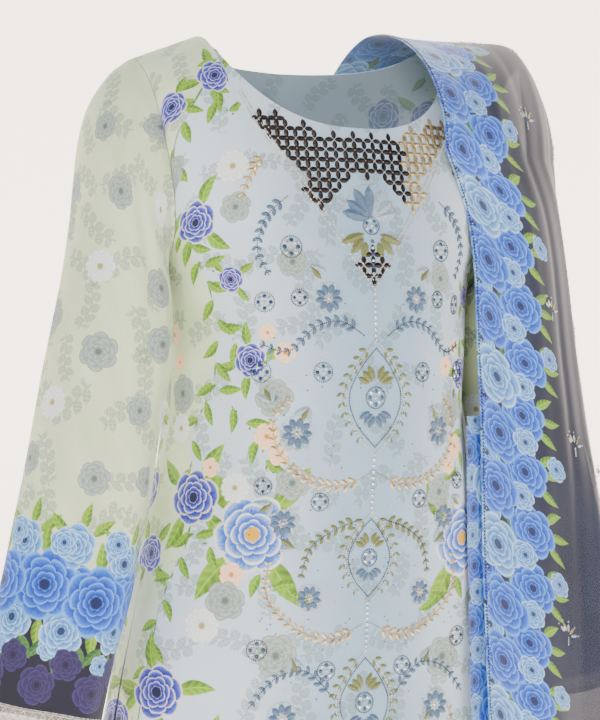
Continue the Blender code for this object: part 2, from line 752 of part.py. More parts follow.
def make_fold_layer(material):
    """The layer of the dupatta that is folded under and shows beside its inner edge."""
    rows = []
    columns = 4
    for z in FRONT_FALL_HEIGHTS[FRONT_FALL_HEIGHTS.index(-0.34) :]:
        folded = dupatta_row(FRONT_FALL, z)[round(FOLD_SHARE * DUPATTA_COLUMNS)]
        folded.y += SHEER + SEAM_GAP + HALF_GAP
        free = Vector((FOLD_LAYER.at("free_x", z), FOLD_LAYER.at("free_y", z), z))
        row = [free.lerp(folded, j / columns) for j in range(columns + 1)]
        for j, point in enumerate(row):
            point.y += FOLD_SLACK * math.sin(math.pi * j / columns)
        rows.append(row)
    normals = grid_normals(rows, False, leg_line)
    inner = inner_points(rows, normals, SHEER)
    add_piece(wall_mesh("dupatta_fold", rows, inner, False), material)


def build():
    clear_scene()
    printed = cloth_material("printed_lawn", (0.50, 0.62, 0.66), 0.72)
    sage = cloth_material("sleeve_lawn", (0.62, 0.68, 0.52), 0.72)
    lace = cloth_material("lace", (0.62, 0.58, 0.52), 0.6)
    plain = cloth_material("trouser_cambric", (0.03, 0.04, 0.10), 0.75)
    sheer = cloth_material("dupatta_organza", (0.03, 0.05, 0.14), 0.5)
    make_panel("kameez_front", "front", printed)
    make_panel("kameez_back", "back", printed)
    make_sleeve("sleeve_left", sage, "lace_left", lace, False)
    make_sleeve("sleeve_right", sage, "lace_right", lace, True)
    make_leg("trouser_left", plain, False)
    make_leg("trouser_right", plain, True)
    make_waistband("trouser_waistband", plain)
    make_dupatta(sheer)
    make_fold_layer(sheer)


build()
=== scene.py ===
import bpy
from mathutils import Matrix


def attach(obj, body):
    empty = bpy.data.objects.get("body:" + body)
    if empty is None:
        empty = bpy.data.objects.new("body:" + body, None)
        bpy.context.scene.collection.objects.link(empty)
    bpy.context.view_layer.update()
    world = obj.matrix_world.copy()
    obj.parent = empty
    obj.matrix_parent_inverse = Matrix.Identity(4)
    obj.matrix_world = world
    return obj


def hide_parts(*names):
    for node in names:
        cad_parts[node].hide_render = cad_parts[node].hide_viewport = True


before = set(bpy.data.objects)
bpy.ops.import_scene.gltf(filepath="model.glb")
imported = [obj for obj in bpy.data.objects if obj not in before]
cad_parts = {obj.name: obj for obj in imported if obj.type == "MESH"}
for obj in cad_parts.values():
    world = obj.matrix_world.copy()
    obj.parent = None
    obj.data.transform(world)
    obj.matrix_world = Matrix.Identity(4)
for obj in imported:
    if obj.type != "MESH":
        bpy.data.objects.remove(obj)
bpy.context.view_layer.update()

import math

import bpy
import numpy as np
from mathutils import Vector, kdtree

print("CAD nodes:", ", ".join(sorted(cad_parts)))

# %% [markdown]
# ## The camera
# The photograph looks at the garment from its right front, level, from about 1.9 m away. The camera
# is made first, so that every later cell can be looked at from where the photograph was taken.

# %%
YAW = math.radians(28)
DISTANCE = 1.9
AIM_Z = -0.289
AIM_SIDE = -0.00736
VIEW_HEIGHT = 0.6624

forward = Vector((math.sin(YAW), math.cos(YAW), 0))
right = Vector((math.cos(YAW), -math.sin(YAW), 0))
camera_data = bpy.data.cameras.new("camera")
camera_data.sensor_width = 36
camera_data.lens = 36 * DISTANCE / VIEW_HEIGHT
camera = bpy.data.objects.new("camera", camera_data)
camera.location = Vector((0, 0, AIM_Z)) + right * AIM_SIDE - forward * DISTANCE
camera.rotation_euler = (math.radians(90), 0, -YAW)
bpy.context.scene.collection.objects.link(camera)
bpy.context.scene.camera = camera
print("camera at", [round(c, 3) for c in camera.location], "lens", round(camera_data.lens, 1))

# %% [markdown]
# ## Small tools for shapes
# A `Table` holds a few rows of sizes and reads them smoothly, for one height or for a whole array.
# `smooth` and `superellipse` shape the change from one part of the garment to the next.

# %%
class Table:
    """Rows of sizes with named columns, read smoothly along the first column."""

    def __init__(self, names, rows):
        self.names = names
        rows = sorted(rows)
        self.keys = np.array([row[0] for row in rows])
        self.values = {name: np.array([row[i] for row in rows]) for i, name in enumerate(names)}

    def at(self, name, key):
        keys, values = self.keys, self.values[name]
        key = np.clip(key, keys[0], keys[-1])
        slopes = np.gradient(values, keys)
        slopes[1:-1] = (values[2:] - values[:-2]) / (keys[2:] - keys[:-2])
        i = np.clip(np.searchsorted(keys, key, side="right") - 1, 0, len(keys) - 2)
        span = keys[i + 1] - keys[i]
        t = (key - keys[i]) / span
        start = (2 * t**3 - 3 * t**2 + 1) * values[i] + (t**3 - 2 * t**2 + t) * slopes[i] * span
        end = (3 * t**2 - 2 * t**3) * values[i + 1] + (t**3 - t**2) * slopes[i + 1] * span
        return start + end


def smooth(value):
    t = np.clip(value, 0, 1)
    return t * t * (3 - 2 * t)


def superellipse(share, power):
    return (1 - np.clip(np.abs(share), 0, 1) ** power) ** (1 / power)


def unit(vectors):
    length = np.linalg.norm(vectors, axis=-1, keepdims=True)
    return vectors / np.maximum(length, 1e-9)


print("half way between 0 and 1, smoothly:", float(smooth(0.5)))

# %% [markdown]
# ## The kameez as a surface
# These are the cut sizes and section tables of the CAD model, so each fine sheet lies exactly on its
# solid. A point of the front or back is found from its share across the panel and its height.

# %%
HALF_GAP = 0.00015
NECK_HALF_WIDTH = 0.1154
NECK_DROPS = {"front": 0.0856, "back": 0.018}
NECK_ROUNDNESS = 2.5
NECK_POWER = 0.52
SHOULDER_X, SHOULDER_Z = 0.178, -0.0245
UNDERARM_X, UNDERARM_Z = 0.150, -0.205
ARMHOLE_FULL_Z = -0.125
ARMHOLE_DEPTHS = {"front": 0.055, "back": 0.050}
ARMHOLE_POWER = 2.2
SECTION_POWER = 2.4
SLIT_TOP_Z = -0.455
SLIT_OPEN = 0.016
KAMEEZ_HEM_Z = -1.01
ARCH_CENTRES = {"front": 0.32, "back": 0.26}
ARCH_SHOULDER = 0.10

BODY = Table(
    ("z", "half_width", "front", "back"),
    (
        (-0.205, 0.150, 0.123, 0.098),
        (-0.240, 0.1415, 0.124, 0.094),
        (-0.280, 0.1385, 0.125, 0.088),
        (-0.320, 0.1385, 0.124, 0.082),
        (-0.366, 0.1430, 0.122, 0.077),
        (-0.410, 0.1520, 0.118, 0.078),
        (-0.456, 0.1630, 0.113, 0.084),
        (-0.502, 0.1716, 0.110, 0.092),
        (-0.582, 0.1887, 0.104, 0.103),
        (-0.700, 0.2080, 0.107, 0.110),
        (-0.850, 0.2280, 0.114, 0.118),
        (-1.010, 0.2460, 0.122, 0.126),
    ),
)
# Long hanging folds: place across, width, depth and the height where each one starts
LONG_FOLDS = {
    "front": (
        (-0.80, 0.16, -0.010, -0.46),
        (-0.52, 0.13, 0.006, -0.56),
        (-0.22, 0.15, -0.007, -0.52),
        (0.12, 0.14, 0.006, -0.60),
        (0.40, 0.14, -0.008, -0.50),
        (0.78, 0.15, 0.007, -0.55),
    ),
    "back": (
        (-0.72, 0.15, -0.009, -0.44),
        (-0.40, 0.14, 0.008, -0.52),
        (-0.05, 0.16, -0.010, -0.40),
        (0.30, 0.13, 0.007, -0.55),
        (0.66, 0.15, -0.009, -0.46),
    ),
}


def seam_plane_x(z):
    return UNDERARM_X + (SHOULDER_X - UNDERARM_X) * (z - UNDERARM_Z) / (SHOULDER_Z - UNDERARM_Z)


def armhole_x(z):
    return np.minimum(seam_plane_x(z), SHOULDER_X)


def half_width(z):
    return np.where(z >= UNDERARM_Z, armhole_x(z), BODY.at("half_width", z))


def shoulder_z(x):
    return SHOULDER_Z / (SHOULDER_X - NECK_HALF_WIDTH) * (np.abs(x) - NECK_HALF_WIDTH)


def neck_z(x, side):
    share = np.clip(np.abs(x) / NECK_HALF_WIDTH, 0, 1)
    return -NECK_DROPS[side] * (1 - share**NECK_ROUNDNESS) ** NECK_POWER


def body_depth(x, z, side):
    """Distance of the front or back from the shoulder plane."""
    deep = BODY.at(side, z)
    sunk = np.clip((ARMHOLE_FULL_Z - z) / (ARMHOLE_FULL_Z - UNDERARM_Z), 0, 1)
    edge = ARMHOLE_DEPTHS[side] * superellipse(sunk, ARMHOLE_POWER)
    edge_share = np.clip(edge / deep, 0, 0.98)
    wide = half_width(z)
    wide = np.where(z > UNDERARM_Z, wide / (1 - edge_share**SECTION_POWER) ** (1 / SECTION_POWER), wide)
    depth = deep * superellipse(x / wide, SECTION_POWER)
    bulge = 1 - np.clip(np.abs(x) / SHOULDER_X, 0, 1) ** 2
    reach = ARCH_SHOULDER + (ARCH_CENTRES[side] - ARCH_SHOULDER) * bulge
    rise = np.clip((shoulder_z(x) - z) / reach, 0, 1)
    return depth * np.sqrt(1 - (1 - rise) ** 2)


def long_folds(folds, across, z):
    total = 0.0
    for place, width, depth, start in folds:
        total = total + depth * smooth((start - z) / 0.40) * np.exp(-(((across - place) / width) ** 2))
    return total


def body_points(q, z, side):
    """Points of a panel at shares q across and heights z."""
    x = q * half_width(z)
    depth = body_depth(x, z, side) + long_folds(LONG_FOLDS[side], q, z) * superellipse(q, 6)
    opened = smooth((SLIT_TOP_Z - z) / (SLIT_TOP_Z - KAMEEZ_HEM_Z))
    depth = depth + SLIT_OPEN * opened * np.abs(q) ** 8
    sign = -1 if side == "front" else 1
    return np.stack([x, sign * np.maximum(depth, HALF_GAP), z], axis=-1)


def panel_grid(side, neck_columns, shoulder_columns, upper_rows, lower_rows):
    """Rows of points from the neck and shoulders down to the hem, one column on each neck point."""
    neck_turn = math.asin((NECK_HALF_WIDTH / SHOULDER_X) ** (SECTION_POWER / 2))
    turns = np.linspace(0, neck_turn, neck_columns, endpoint=False)
    turns = np.append(turns, np.linspace(neck_turn, math.pi / 2, shoulder_columns + 1))
    half = np.sin(turns) ** (2 / SECTION_POWER)
    q = np.append(-half[:0:-1], half)
    top_x = np.abs(q) * SHOULDER_X
    tops = np.where(top_x < NECK_HALF_WIDTH - 1e-6, neck_z(top_x, side), shoulder_z(top_x))
    share = 1 - np.cos(np.linspace(0, math.pi / 2, upper_rows + 1))[:, None]
    upper = tops[None, :] + (UNDERARM_Z - tops[None, :]) * share
    lower = np.linspace(UNDERARM_Z, KAMEEZ_HEM_Z, lower_rows + 1)[1:, None] + 0 * q[None, :]
    z = np.vstack([upper, lower])
    return body_points(np.broadcast_to(q, z.shape), z, side), upper_rows


front_grid, front_underarm = panel_grid("front", 40, 24, 60, 220)
back_grid, back_underarm = panel_grid("back", 26, 16, 40, 150)
print("front grid", front_grid.shape, "back grid", back_grid.shape)

# %% [markdown]
# ## Flat coordinates
# The print, the weave and the embroidery are laid out on the flat cloth. `flat_coordinates` measures
# each sheet: u runs across from its middle, v runs down, both in metres along the cloth itself.

# %%
def flat_coordinates(grid, middle, level_row, level_v, closed=False):
    """Distances across from the middle column and down the columns."""
    across = np.linalg.norm(np.diff(grid, axis=1), axis=2)
    u = np.hstack([np.zeros((len(grid), 1)), np.cumsum(across, axis=1)])
    if closed:
        last = np.linalg.norm(grid[:, 0] - grid[:, -1], axis=1)
        u = np.hstack([u, (u[:, -1] + last)[:, None]])
    u = u - u[:, middle : middle + 1]
    down = np.linalg.norm(np.diff(grid, axis=0), axis=2)
    v = np.vstack([np.zeros((1, grid.shape[1])), np.cumsum(down, axis=0)])
    v = v - v[level_row : level_row + 1] + level_v
    if closed:
        v = np.hstack([v, v[:, :1]])
    return u, v


def grid_normals(grid, inside, closed=False):
    """Unit normals of a grid, facing away from the points inside the garment."""
    if closed:
        along = np.roll(grid, -1, axis=1) - np.roll(grid, 1, axis=1)
    else:
        along = np.gradient(grid, axis=1)
    normals = unit(np.cross(along, np.gradient(grid, axis=0)))
    outward = np.sum(normals * (grid - inside), axis=2).sum() >= 0
    return (normals if outward else -normals), outward


front_flat = flat_coordinates(front_grid, front_grid.shape[1] // 2, front_underarm, -UNDERARM_Z)
back_flat = flat_coordinates(back_grid, back_grid.shape[1] // 2, back_underarm, -UNDERARM_Z)
print("front hem is", round(float(np.ptp(front_flat[0][-1])), 3), "m across")

# %% [markdown]
# ## Creases placed one by one
# A crease is a soft trough or ridge along a line on the flat cloth: where it starts and ends, how
# wide and how deep it is. `press_creases` moves a grid along its normals by the sum of them.

# %%
def crease_offset(u, v, creases, turn_length=None):
    total = np.zeros_like(u)
    for u0, v0, u1, v1, width, depth in creases:
        line = np.array([u1 - u0, v1 - v0])
        length = np.hypot(*line)
        line = line / length
        du = u - u0
        if turn_length is not None:
            du = (du + turn_length / 2) % turn_length - turn_length / 2
        along = du * line[0] + (v - v0) * line[1]
        aside = du * line[1] - (v - v0) * line[0]
        fade = smooth(along / (0.35 * length)) * smooth((length - along) / (0.35 * length))
        total += depth * fade * np.exp(-((aside / width) ** 2))
    return total


def press_creases(grid, normals, u, v, creases, turn_length=None):
    return grid + normals * crease_offset(u, v, creases, turn_length)[..., None]


# Start u, v, end u, v, width and depth of each crease
FRONT_CREASES = (
    (-0.150, 0.150, -0.095, 0.215, 0.011, -0.0022),
    (-0.160, 0.185, -0.080, 0.265, 0.013, 0.0020),
    (-0.165, 0.215, -0.105, 0.330, 0.012, -0.0024),
    (-0.130, 0.300, -0.150, 0.470, 0.014, -0.0026),
    (-0.090, 0.330, -0.105, 0.560, 0.016, 0.0022),
    (-0.055, 0.380, -0.070, 0.700, 0.015, -0.0022),
    (0.060, 0.400, 0.075, 0.720, 0.015, -0.0022),
    (0.105, 0.320, 0.115, 0.560, 0.014, 0.0020),
    (0.150, 0.185, 0.085, 0.270, 0.012, -0.0022),
    (0.160, 0.220, 0.110, 0.330, 0.012, 0.0020),
    (-0.120, 0.560, -0.160, 0.900, 0.018, -0.0030),
    (0.130, 0.560, 0.165, 0.900, 0.018, -0.0030),
)
BACK_CREASES = (
    (-0.140, 0.160, -0.080, 0.240, 0.013, -0.0022),
    (0.140, 0.165, 0.090, 0.235, 0.012, 0.0022),
    (-0.110, 0.300, -0.090, 0.520, 0.016, -0.0026),
    (0.030, 0.330, 0.020, 0.600, 0.016, 0.0022),
    (0.120, 0.280, 0.105, 0.480, 0.015, -0.0026),
    (-0.030, 0.560, -0.045, 0.900, 0.018, -0.0028),
)

# %% [markdown]
# ## From a grid to closed cloth
# `cloth` gives a grid its thickness: an outer face, an inner face and a rim, as one closed mesh. The
# UV map holds the flat cut, with the outside on its left and the inside on its right. The point
# attribute `wrong_side` is 1 on the inner face, so one material can show both faces of the cloth.

# %%
CLOTH = 0.0011
SHEER = 0.0007


def cloth(name, grid, normals, outward, flat, thickness, closed=False, inner=None):
    rows, columns = grid.shape[:2]
    count = rows * columns
    if inner is None:
        inner = grid - normals * thickness
    index = np.arange(count).reshape(rows, columns)
    here = index if closed else index[:, :-1]
    beside = np.roll(index, -1, axis=1) if closed else index[:, 1:]
    quads = np.stack([here[:-1], beside[:-1], beside[1:], here[1:]], axis=-1)
    steps = here.shape[1]
    column = np.arange(steps)
    spots = np.empty((rows - 1, steps, 4, 2), int)
    for corner, (down, along) in enumerate(((0, 0), (0, 1), (1, 1), (1, 0))):
        spots[..., corner, 0] = np.arange(rows - 1)[:, None] + down
        spots[..., corner, 1] = column[None, :] + along
    outer_faces, outer_spots = quads.reshape(-1, 4), spots.reshape(-1, 4, 2)
    inner_faces, inner_spots = outer_faces[:, ::-1] + count, outer_spots[:, ::-1]
    rim, rim_spots = [], []

    def add_rim(a, b, spot_a, spot_b):
        rim.append((b, a, a + count, b + count))
        rim_spots.append((spot_b, spot_a, spot_a, spot_b))

    for j in range(steps):
        k = (j + 1) % columns
        add_rim(index[0, j], index[0, k], (0, j), (0, j + 1))
        add_rim(index[-1, k], index[-1, j], (rows - 1, j + 1), (rows - 1, j))
    if not closed:
        for i in range(rows - 1):
            add_rim(index[i + 1, 0], index[i, 0], (i + 1, 0), (i, 0))
            add_rim(index[i, -1], index[i + 1, -1], (i, columns - 1), (i + 1, columns - 1))
    faces = np.vstack([outer_faces, inner_faces, np.array(rim)])
    corners = np.vstack([outer_spots, inner_spots, np.array(rim_spots)])
    if not outward:
        faces, corners = faces[:, ::-1], corners[:, ::-1]
    mesh = bpy.data.meshes.new(name)
    points = np.vstack([grid.reshape(-1, 3), inner.reshape(-1, 3)])
    mesh.from_pydata(points.tolist(), [], faces.tolist())
    u, v = flat
    size = max(np.ptp(v), np.ptp(u))
    flat_u = (u - u.min()) / size * 0.66
    flat_v = 1 - (v - v.min()) / size
    uv = np.stack([flat_u[corners[..., 0], corners[..., 1]], flat_v[corners[..., 0], corners[..., 1]]], axis=-1)
    is_inner = faces >= count
    uv[..., 0] = np.where(is_inner, 0.67 + uv[..., 0] * 0.49, uv[..., 0])
    layer = mesh.uv_layers.new(name="OFBake")
    layer.data.foreach_set("uv", uv.reshape(-1).astype(np.float32))
    put_attribute(mesh, "wrong_side", np.repeat([0.0, 1.0], count))
    put_attribute(mesh, "flat", both_sides(np.stack([u, v, 0 * u], axis=-1)[:, :columns]))
    mesh.shade_smooth()
    mesh.set_sharp_from_angle(angle=math.radians(60))
    piece = bpy.data.objects.new(name, mesh)
    bpy.context.scene.collection.objects.link(piece)
    return piece


def put_attribute(mesh, name, values):
    """Store one, three or four numbers for each point."""
    values = np.asarray(values, np.float32)
    width = 1 if values.ndim == 1 else values.shape[1]
    kind, field = {1: ("FLOAT", "value"), 3: ("FLOAT_VECTOR", "vector"), 4: ("FLOAT_COLOR", "color")}[width]
    layer = mesh.attributes.new(name, kind, "POINT")
    layer.data.foreach_set(field, values.reshape(-1))


def both_sides(values):
    """The same values for the outer and the inner points of a sheet."""
    flat_values = values.reshape(-1, *values.shape[2:])
    return np.concatenate([flat_values, flat_values])


def hold_at_seams(points, side):
    """Keep a panel on its own side of the shoulder seam and of the armhole seams."""
    sign = -1 if side == "front" else 1
    points[..., 1] = np.where(sign * points[..., 1] < HALF_GAP, sign * HALF_GAP, points[..., 1])
    lean = (SHOULDER_X - UNDERARM_X) / (SHOULDER_Z - UNDERARM_Z)
    beyond = (np.abs(points[..., 0]) - seam_plane_x(points[..., 2])) / math.hypot(1, lean) + HALF_GAP
    upper = (points[..., 2] > UNDERARM_Z - 0.002) & (beyond > 0)
    points[..., 0] -= np.where(upper, np.copysign(beyond, points[..., 0]), 0)
    return points


def panel(name, side, grid, flat, creases):
    inside = np.stack([grid[..., 0] * 0.3, 0 * grid[..., 0], np.minimum(grid[..., 2], -0.25)], axis=-1)
    normals, outward = grid_normals(grid, inside)
    grid = hold_at_seams(press_creases(grid, normals, *flat, creases), side)
    normals, outward = grid_normals(grid, inside)
    inner = hold_at_seams(grid - normals * CLOTH, side)
    return cloth(name, grid, normals, outward, flat, CLOTH, inner=inner), grid, normals


front, front_grid, front_normals = panel("front", "front", front_grid, front_flat, FRONT_CREASES)
back, back_grid, back_normals = panel("back", "back", back_grid, back_flat, BACK_CREASES)
print("front", len(front.data.polygons), "faces; back", len(back.data.polygons), "faces")

# %% [markdown]
# ## Sleeves
# A sleeve is a tube of rings from the armhole to the hem. Its long folds run down the arm, and the
# lace edging carries on the same rings for another 15 mm.

# %%
SLEEVE = Table(
    ("ring", "out_x", "out_z", "in_x", "in_z", "centre_y", "half_depth"),
    (
        (0, 0.1780, -0.0245, 0.1500, -0.2050, 0.000, 0.0550),
        (1, 0.1910, -0.0335, 0.1502, -0.2085, -0.001, 0.0565),
        (2, 0.2040, -0.0485, 0.1504, -0.2120, -0.002, 0.0575),
        (3, 0.2155, -0.0680, 0.1506, -0.2155, -0.003, 0.0580),
        (4, 0.2235, -0.0960, 0.1508, -0.2200, -0.005, 0.0575),
        (5, 0.2290, -0.1300, 0.1508, -0.2260, -0.008, 0.0560),
        (6, 0.2355, -0.1700, 0.1500, -0.2340, -0.012, 0.0540),
        (7, 0.2445, -0.2130, 0.1488, -0.2480, -0.016, 0.0520),
        (8, 0.2575, -0.2640, 0.1480, -0.2900, -0.020, 0.0510),
        (9, 0.2670, -0.3050, 0.1570, -0.3300, -0.021, 0.0510),
        (10, 0.2770, -0.3530, 0.1650, -0.3780, -0.023, 0.0510),
        (11, 0.2860, -0.3930, 0.1715, -0.4200, -0.025, 0.0510),
        (12, 0.2955, -0.4305, 0.1815, -0.4570, -0.027, 0.0510),
        (13, 0.3045, -0.4660, 0.1890, -0.4935, -0.030, 0.0510),
        (14, 0.3175, -0.5140, 0.2040, -0.5400, -0.033, 0.0510),
        (15, 0.3305, -0.5675, 0.2180, -0.5935, -0.036, 0.0510),
        (16, 0.3335, -0.5820, 0.2215, -0.6085, -0.037, 0.0510),
    ),
)
# Angle round from the outer edge over the front, width, depth, first ring and drift for each ring
SLEEVE_FOLDS = (
    (95.0, 20.0, -0.0060, 7.0, -1.5),
    (48.0, 17.0, 0.0035, 5.5, 1.0),
    (140.0, 18.0, -0.0045, 6.0, 2.0),
    (215.0, 20.0, -0.0050, 6.0, -2.0),
    (265.0, 19.0, 0.0040, 8.0, 1.0),
    (310.0, 20.0, -0.0045, 5.0, 1.5),
)
SLEEVE_SIDES = 112
SLEEVE_HEM, LACE_END = 15, 16


def sleeve_swell(degrees, ring):
    total = 0.0
    for angle, width, depth, first, drift in SLEEVE_FOLDS:
        apart = (degrees - angle - drift * (ring - first) + 180) % 360 - 180
        total = total + depth * smooth((ring - first) / 4) * np.exp(-((apart / width) ** 2))
    return total


def sleeve_rings(rings, sides):
    """Cross-sections of the left sleeve, from its outer edge round over the front."""
    rings = np.asarray(rings, float)[:, None]
    turns = np.arange(sides) * 2 * math.pi / sides + 0 * rings
    size = {name: SLEEVE.at(name, rings) for name in SLEEVE.names[1:]}
    middle_x, middle_z = (size["out_x"] + size["in_x"]) / 2, (size["out_z"] + size["in_z"]) / 2
    arm_x, arm_z = (size["out_x"] - size["in_x"]) / 2, (size["out_z"] - size["in_z"]) / 2
    swell = 1 + sleeve_swell(np.degrees(turns), rings) / size["half_depth"]
    x = middle_x + arm_x * np.cos(turns) * swell
    y = size["centre_y"] - size["half_depth"] * np.sin(turns) * swell
    z = middle_z + arm_z * np.cos(turns) * swell
    return np.stack([x, y, z], axis=-1)


def armhole_ring(sides):
    """The oval of the armhole seam, in the same order as a sleeve ring."""
    turns = np.arange(sides) * 2 * math.pi / sides
    z = (SHOULDER_Z + UNDERARM_Z) / 2 + (SHOULDER_Z - UNDERARM_Z) / 2 * np.cos(turns)
    x = armhole_x(z)
    front_half = turns < math.pi
    depth = np.where(front_half, -body_depth(x, z, "front"), body_depth(x, z, "back"))
    depth[[0, sides // 2]] = 0
    return np.stack([x + 2 * HALF_GAP, depth, z], axis=-1)


def sleeve_grid(rows_above, rows_below):
    first = sleeve_rings([1], SLEEVE_SIDES)[0]
    seam = armhole_ring(SLEEVE_SIDES)
    share = np.linspace(0, 1, rows_above, endpoint=False)[:, None, None]
    cap = seam * (1 - share) + first * share
    return np.concatenate([cap, sleeve_rings(np.linspace(1, SLEEVE_HEM, rows_below), SLEEVE_SIDES)])


# Creases on the sleeve: u is the distance round from the outer edge over the front
SLEEVE_CREASES = (
    (0.060, 0.010, 0.075, 0.120, 0.009, 0.0024),
    (0.085, 0.020, 0.095, 0.150, 0.008, -0.0022),
    (0.110, 0.060, 0.120, 0.200, 0.009, 0.0022),
    (0.130, 0.140, 0.090, 0.230, 0.010, -0.0020),
    (0.140, 0.200, 0.080, 0.300, 0.011, 0.0018),
    (0.060, 0.300, 0.070, 0.560, 0.012, -0.0024),
    (0.105, 0.330, 0.110, 0.580, 0.010, 0.0022),
    (0.240, 0.030, 0.230, 0.160, 0.010, 0.0022),
    (0.270, 0.060, 0.265, 0.200, 0.010, -0.0022),
    (0.250, 0.260, 0.240, 0.520, 0.013, -0.0024),
    (0.210, 0.200, 0.220, 0.330, 0.012, 0.0020),
)


def mirrored(points):
    return points * np.array([-1, 1, 1])


def make_sleeve(name, grid, flat, mirror):
    middle = grid.mean(axis=1, keepdims=True)
    normals, outward = grid_normals(grid, middle, closed=True)
    turn = flat[0][:, -1:]
    u, v = flat[0][:, :-1], flat[1][:, :-1]
    offset = crease_offset(u, v, SLEEVE_CREASES, turn) * smooth(v / 0.02)
    grid = grid + normals * offset[..., None]
    normals, outward = grid_normals(grid, middle, closed=True)
    if mirror:
        grid, normals, outward = mirrored(grid), mirrored(normals), not outward
    return cloth(name, grid, normals, outward, flat, CLOTH, closed=True), grid, normals


left_grid = sleeve_grid(8, 172)
sleeve_flat = flat_coordinates(left_grid, 0, 0, 0.0, closed=True)
sleeve_left, left_sleeve_grid, left_sleeve_normals = make_sleeve("sleeve_l", left_grid, sleeve_flat, False)
sleeve_right, right_sleeve_grid, right_sleeve_normals = make_sleeve("sleeve_r", left_grid, sleeve_flat, True)
print("sleeve hem round", round(float(sleeve_flat[0][-1, -1]), 3), "m")

# %% [markdown]
# ## Lace bands
# Under each sleeve hem hangs a narrow band of lace. Its base is a thin plain sheet; the thread pattern, with its
# scallops, is laid over it in a later cell.

# %%
LACE_THICKNESS = 0.0009
lace_grid = sleeve_rings(np.linspace(SLEEVE_HEM, LACE_END, 9), SLEEVE_SIDES * 2)
lace_grid[0] += unit(lace_grid[1] - lace_grid[0]) * 2 * HALF_GAP
lace_flat = flat_coordinates(lace_grid, 0, 0, 0.0, closed=True)


def make_lace_band(name, mirror):
    grid = lace_grid
    normals, outward = grid_normals(grid, grid.mean(axis=1, keepdims=True), closed=True)
    if mirror:
        grid, normals, outward = mirrored(grid), mirrored(normals), not outward
    return cloth(name, grid, normals, outward, lace_flat, LACE_THICKNESS, closed=True), grid, normals


lace_left, lace_left_grid, lace_left_normals = make_lace_band("lace_l", False)
lace_right, lace_right_grid, lace_right_normals = make_lace_band("lace_r", True)
print("lace round", round(float(lace_flat[0][0, -1]), 3), "m, deep", round(float(lace_flat[1].max()), 4), "m")

# %% [markdown]
# ## Trousers
# Each leg is open at the hips, where it meets the other leg, and a closed tube below the crotch. The
# waistband is a plain ring over both.

# %%
CROTCH_Z = -0.665
TROUSER_TOP_Z, TROUSER_SEAM_Z, TROUSER_HEM_Z = -0.385, -0.420, -1.335
INSEAM_X = 0.0015
HIP_ROUNDNESS = 0.8
TROUSERS = Table(
    ("z", "hip_half_width", "front", "back", "leg_centre", "leg_half_width", "leg_half_depth"),
    (
        (-0.385, 0.1300, 0.082, 0.056, 0.0700, 0.0685, 0.072),
        (-0.420, 0.1380, 0.083, 0.060, 0.0740, 0.0725, 0.073),
        (-0.460, 0.1585, 0.084, 0.068, 0.0800, 0.0785, 0.078),
        (-0.510, 0.1704, 0.084, 0.076, 0.0850, 0.0835, 0.082),
        (-0.580, 0.1720, 0.084, 0.086, 0.0860, 0.0845, 0.086),
        (-0.665, 0.1680, 0.084, 0.088, 0.0855, 0.0835, 0.088),
        (-0.800, 0.1600, 0.080, 0.082, 0.0850, 0.0785, 0.083),
        (-1.000, 0.148, 0.075, 0.075, 0.0840, 0.0710, 0.074),
        (-1.335, 0.146, 0.070, 0.070, 0.0870, 0.0690, 0.064),
    ),
)
LEG_FOLDS = (
    (20.0, 22.0, -0.006, -0.72),
    (75.0, 20.0, 0.005, -0.60),
    (130.0, 22.0, -0.006, -0.78),
    (235.0, 22.0, 0.005, -0.70),
    (290.0, 20.0, -0.007, -0.66),
)


def leg_points(heights, sides):
    """Sections of the left leg, from the centre front round to the centre back."""
    z = np.asarray(heights, float)[:, None]
    share = np.arange(sides + 1)[None, :] / sides + 0 * z
    size = {name: TROUSERS.at(name, z) for name in TROUSERS.names[1:]}
    opened = smooth((z - CROTCH_Z) / 0.11)
    turn = math.pi - 2 * math.pi * share
    ring_x = size["leg_centre"] + size["leg_half_width"] * np.cos(turn)
    ring_y = -size["leg_half_depth"] * np.sin(turn)
    hip = math.pi * share
    depth = np.where(share < 0.5, size["front"], size["back"])
    hip_x = INSEAM_X + size["hip_half_width"] * np.clip(np.sin(hip), 0, 1) ** HIP_ROUNDNESS
    hip_y = -depth * np.sign(np.cos(hip)) * np.abs(np.cos(hip)) ** HIP_ROUNDNESS
    swell = 0.0
    for angle, width, fold_depth, start in LEG_FOLDS:
        grown = smooth((start - z) / 0.35)
        swell = swell + fold_depth * grown * np.exp(-(((360 * share - angle) / width) ** 2))
    swell = swell * np.clip((ring_x - INSEAM_X) / 0.02, 0, 1)
    x = ring_x + (hip_x - ring_x) * opened + np.cos(turn) * swell
    y = ring_y + (hip_y - ring_y) * opened - np.sin(turn) * swell
    return np.stack([x, y, z + 0 * share], axis=-1)


LEG_SIDES = 60


